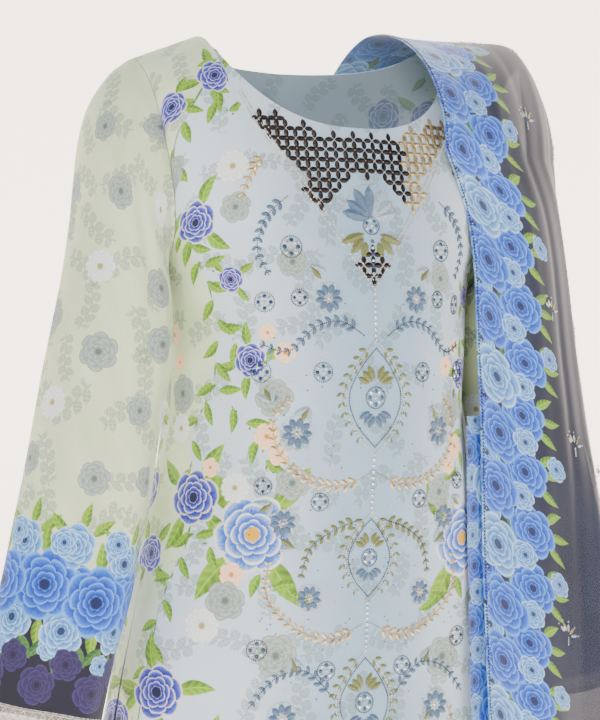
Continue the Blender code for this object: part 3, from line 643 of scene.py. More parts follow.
def make_leg(name, mirror):
    """The open hip part and the closed tube, joined at the crotch into one closed mesh."""
    heights = np.append(np.linspace(TROUSER_SEAM_Z, CROTCH_Z, 40), np.linspace(CROTCH_Z, TROUSER_HEM_Z, 80)[1:])
    split = 39
    grid = leg_points(heights, LEG_SIDES)
    grid[split:, -1] = grid[split:, 0]
    closed_part = grid[:, :-1]
    tube = heights <= CROTCH_Z + 1e-6
    along = np.gradient(grid, axis=1)
    wrap = grid[tube, 1] - grid[tube, -2]
    along[tube, 0] = wrap
    along[tube, -1] = wrap
    normals = unit(np.cross(along, np.gradient(grid, axis=0)))
    axis = np.array([0.075, 0, 0]) * np.ones_like(grid)
    axis[..., 2] = grid[..., 2]
    if np.sum(normals * (grid - axis)) < 0:
        normals = -normals
    inner = grid - normals * CLOTH
    inner[:split, [0, -1], 0] = grid[:split, [0, -1], 0]
    inner[split:, -1] = inner[split:, 0]
    if mirror:
        grid, inner = mirrored(grid), mirrored(inner)
    rows, columns = grid.shape[:2]
    index = np.arange(rows * columns).reshape(rows, columns)
    index[split:, -1] = index[split:, 0]
    count = rows * columns
    faces = []
    for i in range(rows - 1):
        for j in range(columns - 1):
            a, b, c, d = index[i, j], index[i, j + 1], index[i + 1, j + 1], index[i + 1, j]
            faces.append((a, b, c, d))
            faces.append((d + count, c + count, b + count, a + count))
    for j in range(columns - 1):
        a, b = index[0, j], index[0, j + 1]
        faces.append((b, a, a + count, b + count))
        a, b = index[-1, j + 1], index[-1, j]
        faces.append((b, a, a + count, b + count))
    for i in range(split):
        a, b = index[i + 1, 0], index[i, 0]
        faces.append((b, a, a + count, b + count))
        a, b = index[i, -1], index[i + 1, -1]
        faces.append((b, a, a + count, b + count))
    points = np.vstack([grid.reshape(-1, 3), inner.reshape(-1, 3)])
    used = np.zeros(len(points), bool)
    used[np.array(faces).reshape(-1)] = True
    renumber = np.cumsum(used) - 1
    mesh = bpy.data.meshes.new(name)
    mesh.from_pydata(points[used].tolist(), [], renumber[np.array(faces)].tolist())
    put_attribute(mesh, "wrong_side", np.repeat([0.0, 1.0], count)[used])
    mesh.shade_smooth()
    mesh.set_sharp_from_angle(angle=math.radians(60))
    piece = bpy.data.objects.new(name, mesh)
    bpy.context.scene.collection.objects.link(piece)
    return piece


leg_left = make_leg("trouser_leg_l", False)
leg_right = make_leg("trouser_leg_r", True)


def waistband_grid(sides, rows):
    z = np.linspace(TROUSER_TOP_Z, TROUSER_SEAM_Z + 2 * HALF_GAP, rows)[:, None]
    turn = np.arange(sides) * 2 * math.pi / sides + 0 * z
    depth = np.where(np.cos(turn) > 0, TROUSERS.at("front", z), TROUSERS.at("back", z))
    x = np.sign(np.sin(turn)) * np.abs(np.sin(turn)) ** HIP_ROUNDNESS
    y = -np.sign(np.cos(turn)) * np.abs(np.cos(turn)) ** HIP_ROUNDNESS
    gathers = 0.0012 * np.sin(54 * turn) * np.sin(math.pi * np.linspace(0, 1, rows))[:, None]
    return np.stack([(TROUSERS.at("hip_half_width", z) - 0.0012 + gathers) * x, (depth + gathers - 0.0012) * y, z + 0 * x], axis=-1)


band_grid = waistband_grid(360, 12)
band_normals, band_outward = grid_normals(band_grid, band_grid.mean(axis=1, keepdims=True), closed=True)
band_flat = flat_coordinates(band_grid, 0, 0, 0.0, closed=True)
waistband = cloth("waistband", band_grid, band_normals, band_outward, band_flat, CLOTH, closed=True)
print("waistband round", round(float(band_flat[0][0, -1]), 3), "m")

# %% [markdown]
# ## The dupatta
# One length of sheer organza lies over the left shoulder. Five named places across it are tabled
# down the front and down the back, and a smooth line through them gives each row of the sheet.

# %%
DUPATTA_TOP_Z, DUPATTA_HEM_Z = -0.10, -1.16
ACROSS = ("inner", "chest", "arm_front", "arm_side", "edge")
FALL_COLUMNS = ("z",) + tuple(place + axis for place in ACROSS for axis in ("_x", "_y"))
FRONT_FALL = Table(
    FALL_COLUMNS,
    (
        (-0.100, 0.0830, -0.106, 0.130, -0.096, 0.190, -0.080, 0.246, -0.040, 0.254, 0.016),
        (-0.150, 0.1085, -0.0976, 0.150, -0.089, 0.200, -0.082, 0.251, -0.042, 0.259, 0.014),
        (-0.200, 0.1190, -0.0960, 0.158, -0.089, 0.208, -0.083, 0.257, -0.044, 0.265, 0.012),
        (-0.280, 0.1240, -0.0940, 0.162, -0.088, 0.214, -0.086, 0.267, -0.048, 0.274, 0.004),
        (-0.340, 0.1280, -0.093, 0.168, -0.088, 0.222, -0.088, 0.272, -0.056, 0.283, -0.018),
        (-0.400, 0.1295, -0.093, 0.170, -0.090, 0.222, -0.092, 0.262, -0.080, 0.281, -0.060),
        (-0.460, 0.1298, -0.094, 0.168, -0.092, 0.218, -0.094, 0.254, -0.092, 0.273, -0.086),
        (-0.530, 0.1300, -0.098, 0.167, -0.096, 0.216, -0.098, 0.250, -0.099, 0.268, -0.098),
        (-0.620, 0.1310, -0.104, 0.168, -0.100, 0.216, -0.102, 0.252, -0.104, 0.271, -0.104),
        (-0.800, 0.1330, -0.122, 0.172, -0.116, 0.220, -0.112, 0.256, -0.110, 0.276, -0.108),
        (-1.160, 0.1360, -0.142, 0.178, -0.138, 0.228, -0.132, 0.266, -0.126, 0.288, -0.120),
    ),
)
RIDGE = {
    "inner": (0.0820, 0.030, 0.0190),
    "chest": (0.1280, 0.020, 0.0160),
    "arm_front": (0.1750, 0.010, 0.0160),
    "arm_side": (0.2170, 0.004, 0.0150),
    "edge": (0.2360, 0.002, -0.0060),
}
BACK_FALL = Table(
    FALL_COLUMNS,
    (
        (-0.100, 0.0540, 0.098, 0.100, 0.093, 0.150, 0.082, 0.200, 0.074, 0.236, 0.056),
        (-0.200, 0.0500, 0.112, 0.098, 0.106, 0.150, 0.088, 0.198, 0.074, 0.238, 0.058),
        (-0.300, 0.0480, 0.103, 0.096, 0.096, 0.148, 0.080, 0.196, 0.068, 0.236, 0.056),
        (-0.400, 0.0470, 0.098, 0.095, 0.093, 0.147, 0.082, 0.194, 0.070, 0.232, 0.058),
        (-0.520, 0.0460, 0.112, 0.094, 0.108, 0.146, 0.098, 0.192, 0.086, 0.228, 0.074),
        (-0.700, 0.0460, 0.134, 0.094, 0.130, 0.146, 0.120, 0.192, 0.106, 0.228, 0.092),
        (-1.160, 0.0480, 0.156, 0.097, 0.153, 0.150, 0.144, 0.196, 0.130, 0.232, 0.114),
    ),
)
DUPATTA_FOLDS = (
    (0.16, 0.09, -0.006, -0.40),
    (0.38, 0.10, 0.007, -0.34),
    (0.60, 0.09, -0.008, -0.46),
    (0.82, 0.09, 0.006, -0.38),
)
FOLD_LAYER = Table(
    ("z", "free_x", "free_y"),
    (
        (-0.340, 0.1130, -0.0935),
        (-0.400, 0.1115, -0.0970),
        (-0.500, 0.1125, -0.0980),
        (-0.650, 0.1140, -0.1030),
        (-0.800, 0.1150, -0.1130),
        (-1.160, 0.1170, -0.1350),
    ),
)


def across_curve(places, share):
    """A smooth line through the five places of each section; places is rows x 5 x 3."""
    key = np.asarray(share) * (places.shape[1] - 1)
    i = np.minimum(key.astype(int), places.shape[1] - 2)
    t = (key - i)[None, :, None]
    p0, p1 = places[:, np.maximum(i - 1, 0)], places[:, i]
    p2, p3 = places[:, i + 1], places[:, np.minimum(i + 2, places.shape[1] - 1)]
    bend = 2 * p1 + (p2 - p0) * t + (2 * p0 - 5 * p1 + 4 * p2 - p3) * t**2
    return 0.5 * (bend + (3 * p1 - p0 - 3 * p2 + p3) * t**3)


def fall_places(table, heights):
    z = np.asarray(heights, float)
    return np.stack([np.stack([table.at(p + "_x", z), table.at(p + "_y", z), z], axis=-1) for p in ACROSS], axis=1)


def fall_rows(table, heights, shares):
    heights = np.asarray(heights, float)
    rows = across_curve(fall_places(table, heights), shares)
    sign = -1 if table is FRONT_FALL else 1
    folds = long_folds(DUPATTA_FOLDS, np.asarray(shares)[None, :], heights[:, None])
    rows[..., 1] += sign * np.maximum(folds, -0.004)
    return rows


def arch_rows(table, turns, shares):
    """Rows of the arch between a fall and the highest line over the shoulder."""
    start = fall_places(table, [DUPATTA_TOP_Z])
    top = np.array([RIDGE[place] for place in ACROSS])[None]
    turns = np.asarray(turns)[:, None]
    lift = smooth(turns / (math.pi / 2))
    x = start[..., 0] + (top[..., 0] - start[..., 0]) * lift
    y = top[..., 1] + (start[..., 1] - top[..., 1]) * np.cos(turns)
    z = start[..., 2] + (top[..., 2] - start[..., 2]) * np.sin(turns)
    return across_curve(np.stack([x, y, z], axis=-1), shares)


def dupatta_rows(columns):
    shares = np.linspace(0, 1, columns)
    quarter = math.pi / 2
    front_rows = fall_rows(FRONT_FALL, np.linspace(DUPATTA_HEM_Z, DUPATTA_TOP_Z, 266)[:-1], shares)
    up = arch_rows(FRONT_FALL, np.linspace(0, quarter, 36), shares)
    down = arch_rows(BACK_FALL, np.linspace(quarter, 0, 32)[1:], shares)
    back_rows = fall_rows(BACK_FALL, np.linspace(DUPATTA_TOP_Z, DUPATTA_HEM_Z, 180)[1:], shares)
    return np.concatenate([front_rows, up, down, back_rows]), len(front_rows) + len(up) - 1


DUPATTA_CREASES = (
    (0.030, -0.080, 0.040, 0.900, 0.006, -0.0016),
    (0.070, -0.020, 0.075, 0.700, 0.007, 0.0016),
    (0.105, -0.050, 0.110, 1.000, 0.006, -0.0018),
    (0.140, -0.060, 0.135, 0.900, 0.007, 0.0018),
    (0.165, -0.040, 0.160, 0.600, 0.006, -0.0016),
    (0.190, 0.020, 0.180, 0.800, 0.006, 0.0014),
    (0.050, -0.900, 0.060, -0.080, 0.008, -0.0018),
    (0.120, -0.900, 0.110, -0.060, 0.008, 0.0018),
    (0.165, -0.800, 0.160, -0.050, 0.008, -0.0016),
)
dupatta_grid, ridge_row = dupatta_rows(96)
dupatta_flat = flat_coordinates(dupatta_grid, 0, ridge_row, 0.0)
dupatta_flat = (dupatta_flat[0], -dupatta_flat[1])
under_scarf = np.array([0.16, 0, 0]) * np.ones_like(dupatta_grid)
under_scarf[..., 2] = np.minimum(dupatta_grid[..., 2], -0.06) - 0.01
dupatta_normals, dupatta_outward = grid_normals(dupatta_grid, under_scarf)
crease = crease_offset(*dupatta_flat, DUPATTA_CREASES)
dupatta_grid = dupatta_grid + dupatta_normals * crease[..., None]
dupatta_normals, dupatta_outward = grid_normals(dupatta_grid, under_scarf)
dupatta = cloth("dupatta", dupatta_grid, dupatta_normals, dupatta_outward, dupatta_flat, SHEER)


def fold_layer_grid(columns, rows):
    """The layer folded under the inner edge, just behind the front fall."""
    heights = np.linspace(-0.34, DUPATTA_HEM_Z, rows)
    folded = fall_rows(FRONT_FALL, heights, [0, 2 / 14])[:, 1]
    folded[:, 1] += 0.0014 + 3 * HALF_GAP
    free = np.stack([FOLD_LAYER.at("free_x", heights), FOLD_LAYER.at("free_y", heights), heights], axis=-1)
    share = np.linspace(0, 1, columns)[None, :, None]
    grid = free[:, None] * (1 - share) + folded[:, None] * share
    grid[..., 1] += 0.0045 * np.sin(math.pi * share[..., 0])
    return grid


layer_grid = fold_layer_grid(16, 200)
layer_flat = flat_coordinates(layer_grid, 0, 0, 0.34)
layer_inside = np.array([0.075, 0, 0]) * np.ones_like(layer_grid)
layer_inside[..., 2] = layer_grid[..., 2]
layer_normals, layer_outward = grid_normals(layer_grid, layer_inside)
dupatta_layer = cloth("dupatta_layer", layer_grid, layer_normals, layer_outward, layer_flat, SHEER)
print("dupatta length over the shoulder", round(float(np.ptp(dupatta_flat[1])), 2), "m")

# %% [markdown]
# ## The print, charted
# Every motif has a place on the flat cloth: kind, u, v, radius and turn. Each point of a sheet then
# stores where it lies inside the nearest motif, and the shader draws the petals from that. Motifs
# that would overlap go to separate layers, so `layers_of` sorts them into as few as it can.

# %%
ROSE, LIGHT_PEONY, COBALT_PEONY, PEACH, MUM, TONAL, GREY_ROSE, OPEN_BLOOM = range(8)
GREEN, DEEP_GREEN, GREY_LEAF, BLUE_LEAF = range(4)
rng = np.random.default_rng(7)


def layers_of(motifs, count, gap=0.005):
    """Sort motifs (kind, u, v, radius, turn) into layers where none touches another."""
    layers = [[] for _ in range(count)]
    for motif in motifs:
        for layer in layers:
            clear = all(math.hypot(motif[1] - m[1], motif[2] - m[2]) > motif[3] + m[3] + gap for m in layer)
            if clear:
                layer.append(motif)
                break
    return layers


def local_place(u, v, layer, turn_length=None):
    """For each point: x and y inside the nearest motif, its kind with a fraction as its seed, and
    how far outside it the point lies."""
    best = np.full(u.shape, 1e9)
    place = np.zeros(u.shape + (4,))
    place[..., 0] = 9
    place[..., 3] = 1
    for kind, mu, mv, radius, turn in layer:
        du, dv = u - mu, v - mv
        if turn_length is not None:
            du = (du + turn_length / 2) % turn_length - turn_length / 2
        a = math.radians(turn)
        x = (du * math.cos(a) + dv * math.sin(a)) / radius
        y = (dv * math.cos(a) - du * math.sin(a)) / radius
        reach = np.hypot(x, y) * radius - radius
        nearer = reach < best
        best = np.where(nearer, reach, best)
        seed = (mu * 37.7 + mv * 91.3) % 0.9 + 0.05
        place[nearer] = np.stack([x, y, 0 * x + kind + seed, reach], axis=-1)[nearer]
    return place


def line_distance(u, v, lines):
    """Distance from each point to the nearest of some given lines."""
    best = np.full(u.shape, 1.0)
    for line in lines:
        for (u0, v0), (u1, v1) in zip(line[:-1], line[1:]):
            du, dv = u1 - u0, v1 - v0
            t = np.clip(((u - u0) * du + (v - v0) * dv) / (du * du + dv * dv), 0, 1)
            best = np.minimum(best, np.hypot(u - u0 - t * du, v - v0 - t * dv))
    return best


def curved(points, steps=6):
    """A smooth line through given points."""
    points = np.array(points, float)
    out = []
    for i in range(len(points) - 1):
        p0, p1 = points[max(i - 1, 0)], points[i]
        p2, p3 = points[i + 1], points[min(i + 2, len(points) - 1)]
        for t in np.linspace(0, 1, steps, endpoint=False):
            bend = 2 * p1 + (p2 - p0) * t + (2 * p0 - 5 * p1 + 4 * p2 - p3) * t * t
            out.append(tuple(0.5 * (bend + (3 * p1 - p0 - 3 * p2 + p3) * t**3)))
    out.append(tuple(points[-1]))
    return out


def leaves_round(u, v, radius, angles, size, kind=GREEN):
    """Leaves that point away from a bloom."""
    leaves = []
    for angle in angles:
        a = math.radians(angle)
        reach = radius * 0.85 + size * 0.8
        leaves.append((kind, u + reach * math.cos(a), v + reach * math.sin(a), size, angle))
    return leaves


def leaves_along(line, step, size, kind=GREEN, start=0.0):
    """Leaves on both sides of a stem."""
    leaves, walked, side = [], start, 1
    for (u0, v0), (u1, v1) in zip(line[:-1], line[1:]):
        walked += math.hypot(u1 - u0, v1 - v0)
        if walked < step:
            continue
        walked, side = 0.0, -side
        angle = math.degrees(math.atan2(v1 - v0, u1 - u0)) + side * 48
        a = math.radians(angle)
        leaves.append((kind, u1 + size * math.cos(a), v1 + size * math.sin(a), size, angle))
    return leaves


def scattered(u_range, v_range, spacing, size, kinds):
    """Motifs on an uneven lattice, each with its own size and turn."""
    motifs = []
    for i, v in enumerate(np.arange(v_range[0], v_range[1], spacing)):
        for u in np.arange(u_range[0] + spacing * 0.5 * (i % 2), u_range[1], spacing):
            shift = rng.uniform(-0.22, 0.22, 2) * spacing
            kind = kinds[int(rng.integers(len(kinds)))]
            motifs.append((kind, u + shift[0], v + shift[1], size * rng.uniform(0.85, 1.1), rng.uniform(0, 360)))
    return motifs


def mirrored_motifs(motifs, drop):
    return [(kind, -u, v + drop, radius, 180 - turn) for kind, u, v, radius, turn in motifs]


print("one smooth line:", len(curved([(0, 0), (0.1, 0.1), (0.2, 0)])), "points")

# %% [markdown]
# ## Front and back of the kameez
# A leafy vine with cobalt roses runs down each side between a sage ground and a grey-blue centre.
# Grey sprays and roses lie under it all over.

# %%
VINE = curved(
    [(-0.150, -0.03), (-0.172, 0.04), (-0.192, 0.10), (-0.184, 0.155), (-0.160, 0.205), (-0.146, 0.255),
     (-0.150, 0.31), (-0.172, 0.36), (-0.166, 0.44), (-0.190, 0.50), (-0.200, 0.56), (-0.208, 0.64),
     (-0.190, 0.72), (-0.205, 0.80), (-0.222, 0.90), (-0.215, 1.00)]
)
BRANCHES = (
    curved([(-0.160, 0.205), (-0.146, 0.212), (-0.132, 0.222)]),
    curved([(-0.146, 0.255), (-0.134, 0.268), (-0.116, 0.288)]),
    curved([(-0.150, 0.31), (-0.125, 0.335), (-0.103, 0.362), (-0.097, 0.385)]),
    curved([(-0.166, 0.44), (-0.140, 0.452), (-0.112, 0.440)]),
    curved([(-0.112, 0.450), (-0.098, 0.478), (-0.082, 0.492), (-0.070, 0.488)]),
    curved([(-0.172, 0.04), (-0.160, 0.062), (-0.142, 0.074)]),
    curved([(-0.208, 0.64), (-0.170, 0.665), (-0.140, 0.660)]),
    curved([(-0.205, 0.80), (-0.165, 0.825), (-0.130, 0.815)]),
)
SIDE_BLOOMS = [
    (OPEN_BLOOM, -0.108, 0.440, 0.036, 20),
    (ROSE, -0.165, 0.410, 0.026, 10),
    (ROSE, -0.165, 0.034, 0.019, 40),
    (ROSE, -0.201, 0.066, 0.015, 80),
    (ROSE, -0.163, 0.169, 0.020, 0),
    (ROSE, -0.129, 0.220, 0.012, 120),
    (ROSE, -0.114, 0.290, 0.016, 60),
    (ROSE, -0.213, 0.462, 0.018, 200),
    (ROSE, -0.189, 0.580, 0.025, 150),
    (ROSE, -0.236, 0.610, 0.019, 30),
    (OPEN_BLOOM, -0.140, 0.668, 0.034, 70),
    (ROSE, -0.205, 0.735, 0.026, 250),
    (ROSE, -0.120, 0.815, 0.024, 15),
    (ROSE, -0.222, 0.865, 0.027, 90),
    (ROSE, -0.180, 0.945, 0.025, 300),
    (PEACH, -0.083, 0.283, 0.010, 0),
    (PEACH, -0.098, 0.266, 0.008, 30),
    (PEACH, -0.098, 0.355, 0.012, 10),
    (PEACH, -0.088, 0.372, 0.009, 50),
    (PEACH, -0.205, 0.268, 0.011, 50),
    (PEACH, -0.196, 0.292, 0.009, 80),
    (PEACH, -0.150, 0.383, 0.009, 15),
    (PEACH, -0.125, 0.475, 0.011, 70),
    (PEACH, -0.180, 0.632, 0.011, 0),
    (MUM, -0.136, 0.122, 0.015, 0),
    (MUM, -0.125, 0.400, 0.014, 20),
    (MUM, -0.190, 0.350, 0.014, 50),
    (MUM, -0.150, 0.520, 0.016, 70),
    (MUM, -0.110, 0.620, 0.015, 20),
    (MUM, -0.105, 0.740, 0.016, 40),
    (GREY_ROSE, -0.128, 0.158, 0.014, 0),
    (GREY_ROSE, -0.092, 0.322, 0.017, 60),
    (GREY_ROSE, -0.130, 0.498, 0.018, 60),
    (GREY_ROSE, -0.085, 0.545, 0.020, 160),
    (GREY_ROSE, -0.190, 0.320, 0.018, 110),
    (GREY_ROSE, -0.195, 0.120, 0.016, 200),
    (GREY_ROSE, -0.075, 0.395, 0.016, 200),
    (GREY_ROSE, -0.075, 0.205, 0.014, 20),
    (GREY_ROSE, -0.060, 0.640, 0.020, 20),
    (GREY_ROSE, -0.070, 0.850, 0.020, 70),
    (GREY_ROSE, -0.030, 0.745, 0.020, 140),
]
side_leaves = []
for kind, u, v, radius, turn in SIDE_BLOOMS:
    if kind in (ROSE, OPEN_BLOOM):
        side_leaves += leaves_round(u, v, radius, (turn + 35, turn + 110, turn + 205, turn + 290), radius * 0.72)
for line, start in [(VINE, 0.0)] + [(branch, 0.01) for branch in BRANCHES]:
    side_leaves += leaves_along(line, 0.016, 0.0115, GREEN, start)
side_blooms = SIDE_BLOOMS + mirrored_motifs(SIDE_BLOOMS, 0.012)
front_blooms = layers_of(sorted(side_blooms, key=lambda m: m[0] in (GREY_ROSE, MUM)), 3)
front_leaves = layers_of(side_leaves + mirrored_motifs(side_leaves, 0.012), 4, 0.004)
front_sprays = layers_of(scattered((-0.26, 0.28), (-0.02, 1.04), 0.046, 0.026, (GREY_LEAF,)), 3, 0.003)
right_vine = [[(-u, v + 0.012) for u, v in line] for line in (VINE,) + BRANCHES]
front_stems = [VINE, *BRANCHES, *right_vine]


def put_print(piece, u, v, blooms, leaves, sprays, stems, masks, turn_length=None):
    """Store the print's places and masks on both faces of a sheet."""
    mesh = piece.data
    for name, layers in (("bloom", blooms), ("leaf", leaves), ("spray", sprays)):
        for i, layer in enumerate(layers):
            put_attribute(mesh, f"{name}_{i}", both_sides(local_place(u, v, layer, turn_length)))
    distance = line_distance(u, v, stems) if stems else np.full(u.shape, 1.0)
    put_attribute(mesh, "stem", both_sides(distance))
    for name, values in masks.items():
        put_attribute(mesh, name, both_sides(values))


def side_ground(u, v):
    """0 on the blue centre and 1 on the sage sides, with a wavy edge that follows the vine."""
    vine = np.array(VINE)
    edge = np.interp(v, vine[:, 1], -vine[:, 0])
    return smooth((np.abs(u) - edge + 0.006) / 0.014)


def centre_depth(u, v):
    """1 where the centre's blue is deepest."""
    return np.exp(-((u / 0.085) ** 2)) * smooth((v + 0.05) / 0.2)


for piece, (u, v), blooms in (
    (front, front_flat, front_blooms),
    (back, back_flat, layers_of([(ROSE, 0.118, 0.048, 0.020, 30)] + side_blooms, 3)),
):
    masks = {"ground": side_ground(u, v), "deep": centre_depth(u, v)}
    put_print(piece, u, v, blooms, front_leaves, front_sprays, front_stems, masks)
print("front:", sum(map(len, front_blooms)), "blooms,", sum(map(len, front_leaves)), "leaves,",
      sum(map(len, front_sprays)), "sprays")

# %% [markdown]
# ## Sleeves
# Here v is the distance up from the hem. The sage ground with its grey sprays ends in a band of
# peonies, and the navy below it carries roses of nearly its own colour.

# %%
hem_height = sleeve_flat[1][-1:, :-1] - sleeve_flat[1][:, :-1]
sleeve_turn = sleeve_flat[0][:, -1:]
round_u = sleeve_flat[0][:, :-1]
HEM_ROUND = float(sleeve_turn[-1, 0])
sleeve_blooms, sleeve_leaves = [], []
for i in range(7):
    u = HEM_ROUND * i / 7
    lift = 0.004 * math.sin(i * 2.1)
    sleeve_blooms.append((COBALT_PEONY, u, 0.098 + lift, 0.031, 50 * i))
    sleeve_blooms.append((LIGHT_PEONY, u + HEM_ROUND / 14, 0.070 - lift, 0.021, 80 * i))
    sleeve_blooms.append((LIGHT_PEONY, u + HEM_ROUND / 14 - 0.004, 0.134 + lift, 0.020, 35 * i))
    sleeve_blooms.append((COBALT_PEONY, u + HEM_ROUND / 14 + 0.002, 0.102, 0.022, 140 * i))
    sleeve_blooms.append((LIGHT_PEONY, u + 0.010, 0.142 - lift, 0.013, 10 * i))
    sleeve_blooms.append((LIGHT_PEONY, u + 0.015, 0.047 + lift, 0.010, 20 * i))
    sleeve_blooms.append((TONAL, u + 0.012, 0.020, 0.017, 66 * i))
    sleeve_blooms.append((TONAL, u + 0.034, 0.040, 0.014, 31 * i))
    sleeve_leaves += leaves_round(u, 0.098 + lift, 0.031, (60, 95, 125), 0.014)
    sleeve_leaves += leaves_round(u + HEM_ROUND / 14, 0.134 + lift, 0.020, (45, 85, 140), 0.012)
    sleeve_leaves += leaves_round(u, 0.098, 0.031, (-120, -85, -55), 0.013)
    sleeve_leaves += leaves_round(u + HEM_ROUND / 14, 0.070, 0.021, (-130, -90, -50), 0.012, DEEP_GREEN)
sleeve_blooms += scattered((0, HEM_ROUND), (0.19, 0.56), 0.062, 0.016, (GREY_ROSE, GREY_ROSE, MUM))
sleeve_sprays = layers_of(scattered((0, HEM_ROUND), (0.165, 0.57), 0.041, 0.026, (GREY_LEAF,)), 3, 0.003)
sleeve_bloom_layers = layers_of(sorted(sleeve_blooms, key=lambda m: -m[3]), 4)[::-1]
sleeve_leaf_layers = layers_of(sleeve_leaves, 4, 0.003)
edge_wave = 0.088 + 0.010 * np.sin(round_u * 2 * math.pi / HEM_ROUND * 7)
navy = smooth((edge_wave - hem_height) / 0.006)
for piece in (sleeve_left, sleeve_right):
    masks = {"ground": np.ones_like(round_u), "deep": 0 * round_u, "navy": navy}
    put_print(piece, round_u, hem_height, sleeve_bloom_layers, sleeve_leaf_layers, sleeve_sprays, [], masks, sleeve_turn)
print("sleeve:", sum(map(len, sleeve_bloom_layers)), "of", len(sleeve_blooms), "blooms kept")

# %% [markdown]
# ## Dupatta
# A dense peony border with a leafy fringe runs the whole length on the inner side. The outer half is
# plain navy.

# %%
border_blooms, border_leaves = [], []
for i, v in enumerate(np.arange(-1.16, 1.22, 0.052)):
    sway = 0.004 * math.sin(i * 1.7)
    big, small = (COBALT_PEONY, LIGHT_PEONY) if i % 3 else (LIGHT_PEONY, COBALT_PEONY)
    border_blooms.append((big, 0.020 + sway, v, 0.027, 47 * i))
    border_blooms.append((COBALT_PEONY, 0.052 - sway, v + 0.024, 0.024, 80 * i))
    border_blooms.append((small, 0.006, v + 0.026, 0.017, 31 * i))
    border_blooms.append((LIGHT_PEONY, 0.049 + sway, v - 0.004, 0.013, 60 * i))
    if i % 2:
        border_blooms.append((LIGHT_PEONY, 0.083, v + 0.010, 0.011, 15 * i))
    border_leaves += leaves_round(0.052 - sway, v + 0.024, 0.024, (-38, -8, 30), 0.011)
    border_leaves += leaves_round(0.020 + sway, v, 0.027, (-60, 55), 0.014, DEEP_GREEN)
    border_leaves += leaves_round(0.020 + sway, v, 0.027, (150, 205), 0.012, GREEN)
scarf_blooms = layers_of(sorted(border_blooms, key=lambda m: -m[3]), 4)[::-1]
scarf_leaves = layers_of(border_leaves, 4, 0.003)
u, v = dupatta_flat
put_print(dupatta, u, v, scarf_blooms, scarf_leaves, [], [], {"navy": np.ones_like(u), "sheer": smooth((u - 0.066) / 0.03)})
u, v = layer_flat
put_print(dupatta_layer, 0.060 - u, v, scarf_blooms, scarf_leaves, [], [], {"navy": np.ones_like(u), "sheer": 0.3 + 0 * u})
print("dupatta border:", sum(map(len, scarf_blooms)), "blooms")

# %% [markdown]
# ## Formulas as shader nodes
# `Val` wraps a socket so that a node tree can be written like the formula it draws.

# %%
class Val:
    """A shader socket that takes part in sums."""

    def __init__(self, tree, socket):
        self.tree, self.socket = tree, socket

    def math(self, operation, *values, clamp=False):
        node = self.tree.nodes.new("ShaderNodeMath")
        node.operation, node.use_clamp = operation, clamp
        for slot, value in zip(node.inputs, values):
            if isinstance(value, Val):
                self.tree.links.new(value.socket, slot)
            else:
                slot.default_value = value
        return Val(self.tree, node.outputs[0])

    def __add__(self, other):
        return self.math("ADD", self, other)

    def __sub__(self, other):
        return self.math("SUBTRACT", self, other)

    def __rsub__(self, other):
        return self.math("SUBTRACT", other, self)

    def __mul__(self, other):
        return self.math("MULTIPLY", self, other)

    def __truediv__(self, other):
        return self.math("DIVIDE", self, other)

    def __pow__(self, power):
        return self.math("POWER", self, power)

    def __abs__(self):
        return self.math("ABSOLUTE", self)

    __radd__, __rmul__ = __add__, __mul__

    def sin(self):
        return self.math("SINE", self)

    def floor(self):
        return self.math("FLOOR", self)

    def fract(self):
        return self.math("FRACT", self)

    def above(self, edge, soft):
        """0 below an edge and 1 above it, with a soft step; either may be a formula."""
        return self.math("MULTIPLY_ADD", self - edge, 1 / soft, 0.5, clamp=True)

    def between(self, low, high):
        """0 at low, 1 at high."""
        return self.math("MULTIPLY_ADD", self, 1 / (high - low), -low / (high - low), clamp=True)


def mix(tree, factor, a, b):
    node = tree.nodes.new("ShaderNodeMix")
    node.data_type = "RGBA"
    for slot, value in ((node.inputs[0], factor), (node.inputs[6], a), (node.inputs[7], b)):
        if isinstance(value, Val):
            tree.links.new(value.socket, slot)
        elif isinstance(value, bpy.types.NodeSocket):
            tree.links.new(value, slot)
        else:
            slot.default_value = (*value, 1) if isinstance(value, tuple) else value
    return node.outputs[2]


RICHER = 1.45
DEEPER = 1.12


def srgb(r, g, b):
    """A colour as it is seen, made linear, richer and deeper, since the picture softens colours."""
    linear = [(c / 12.92 if c <= 0.04045 else ((c + 0.055) / 1.055) ** 2.4) for c in (r / 255, g / 255, b / 255)]
    grey = 0.2126 * linear[0] + 0.7152 * linear[1] + 0.0722 * linear[2]
    return tuple(min(max(grey + (c - grey) * RICHER, 0.002), 1.0) ** DEEPER for c in linear)


def palette(tree, kind, colours):
    """One colour for each kind, picked by a stepped ramp."""
    node = tree.nodes.new("ShaderNodeValToRGB")
    ramp = node.color_ramp
    ramp.interpolation = "CONSTANT"
    while len(ramp.elements) < len(colours):
        ramp.elements.new(1.0)
    for i, colour in enumerate(colours):
        ramp.elements[i].position = i / 16
        ramp.elements[i].color = (*colour, 1)
    tree.links.new(((kind + 0.5) / 16).socket, node.inputs[0])
    return node.outputs[0]


def new_group(name, inputs, outputs):
    tree = bpy.data.node_groups.new(name, "ShaderNodeTree")
    for label, kind in inputs:
        tree.interface.new_socket(label, in_out="INPUT", socket_type=kind)
    for label, kind in outputs:
        tree.interface.new_socket(label, in_out="OUTPUT", socket_type=kind)
    return tree, tree.nodes.new("NodeGroupInput"), tree.nodes.new("NodeGroupOutput")


def split_place(tree, socket):
    """x, y, kind and seed of a stored place."""
    node = tree.nodes.new("ShaderNodeSeparateXYZ")
    tree.links.new(socket, node.inputs[0])
    x, y, code = (Val(tree, node.outputs[i]) for i in range(3))
    return x, y, code.floor(), code.fract()


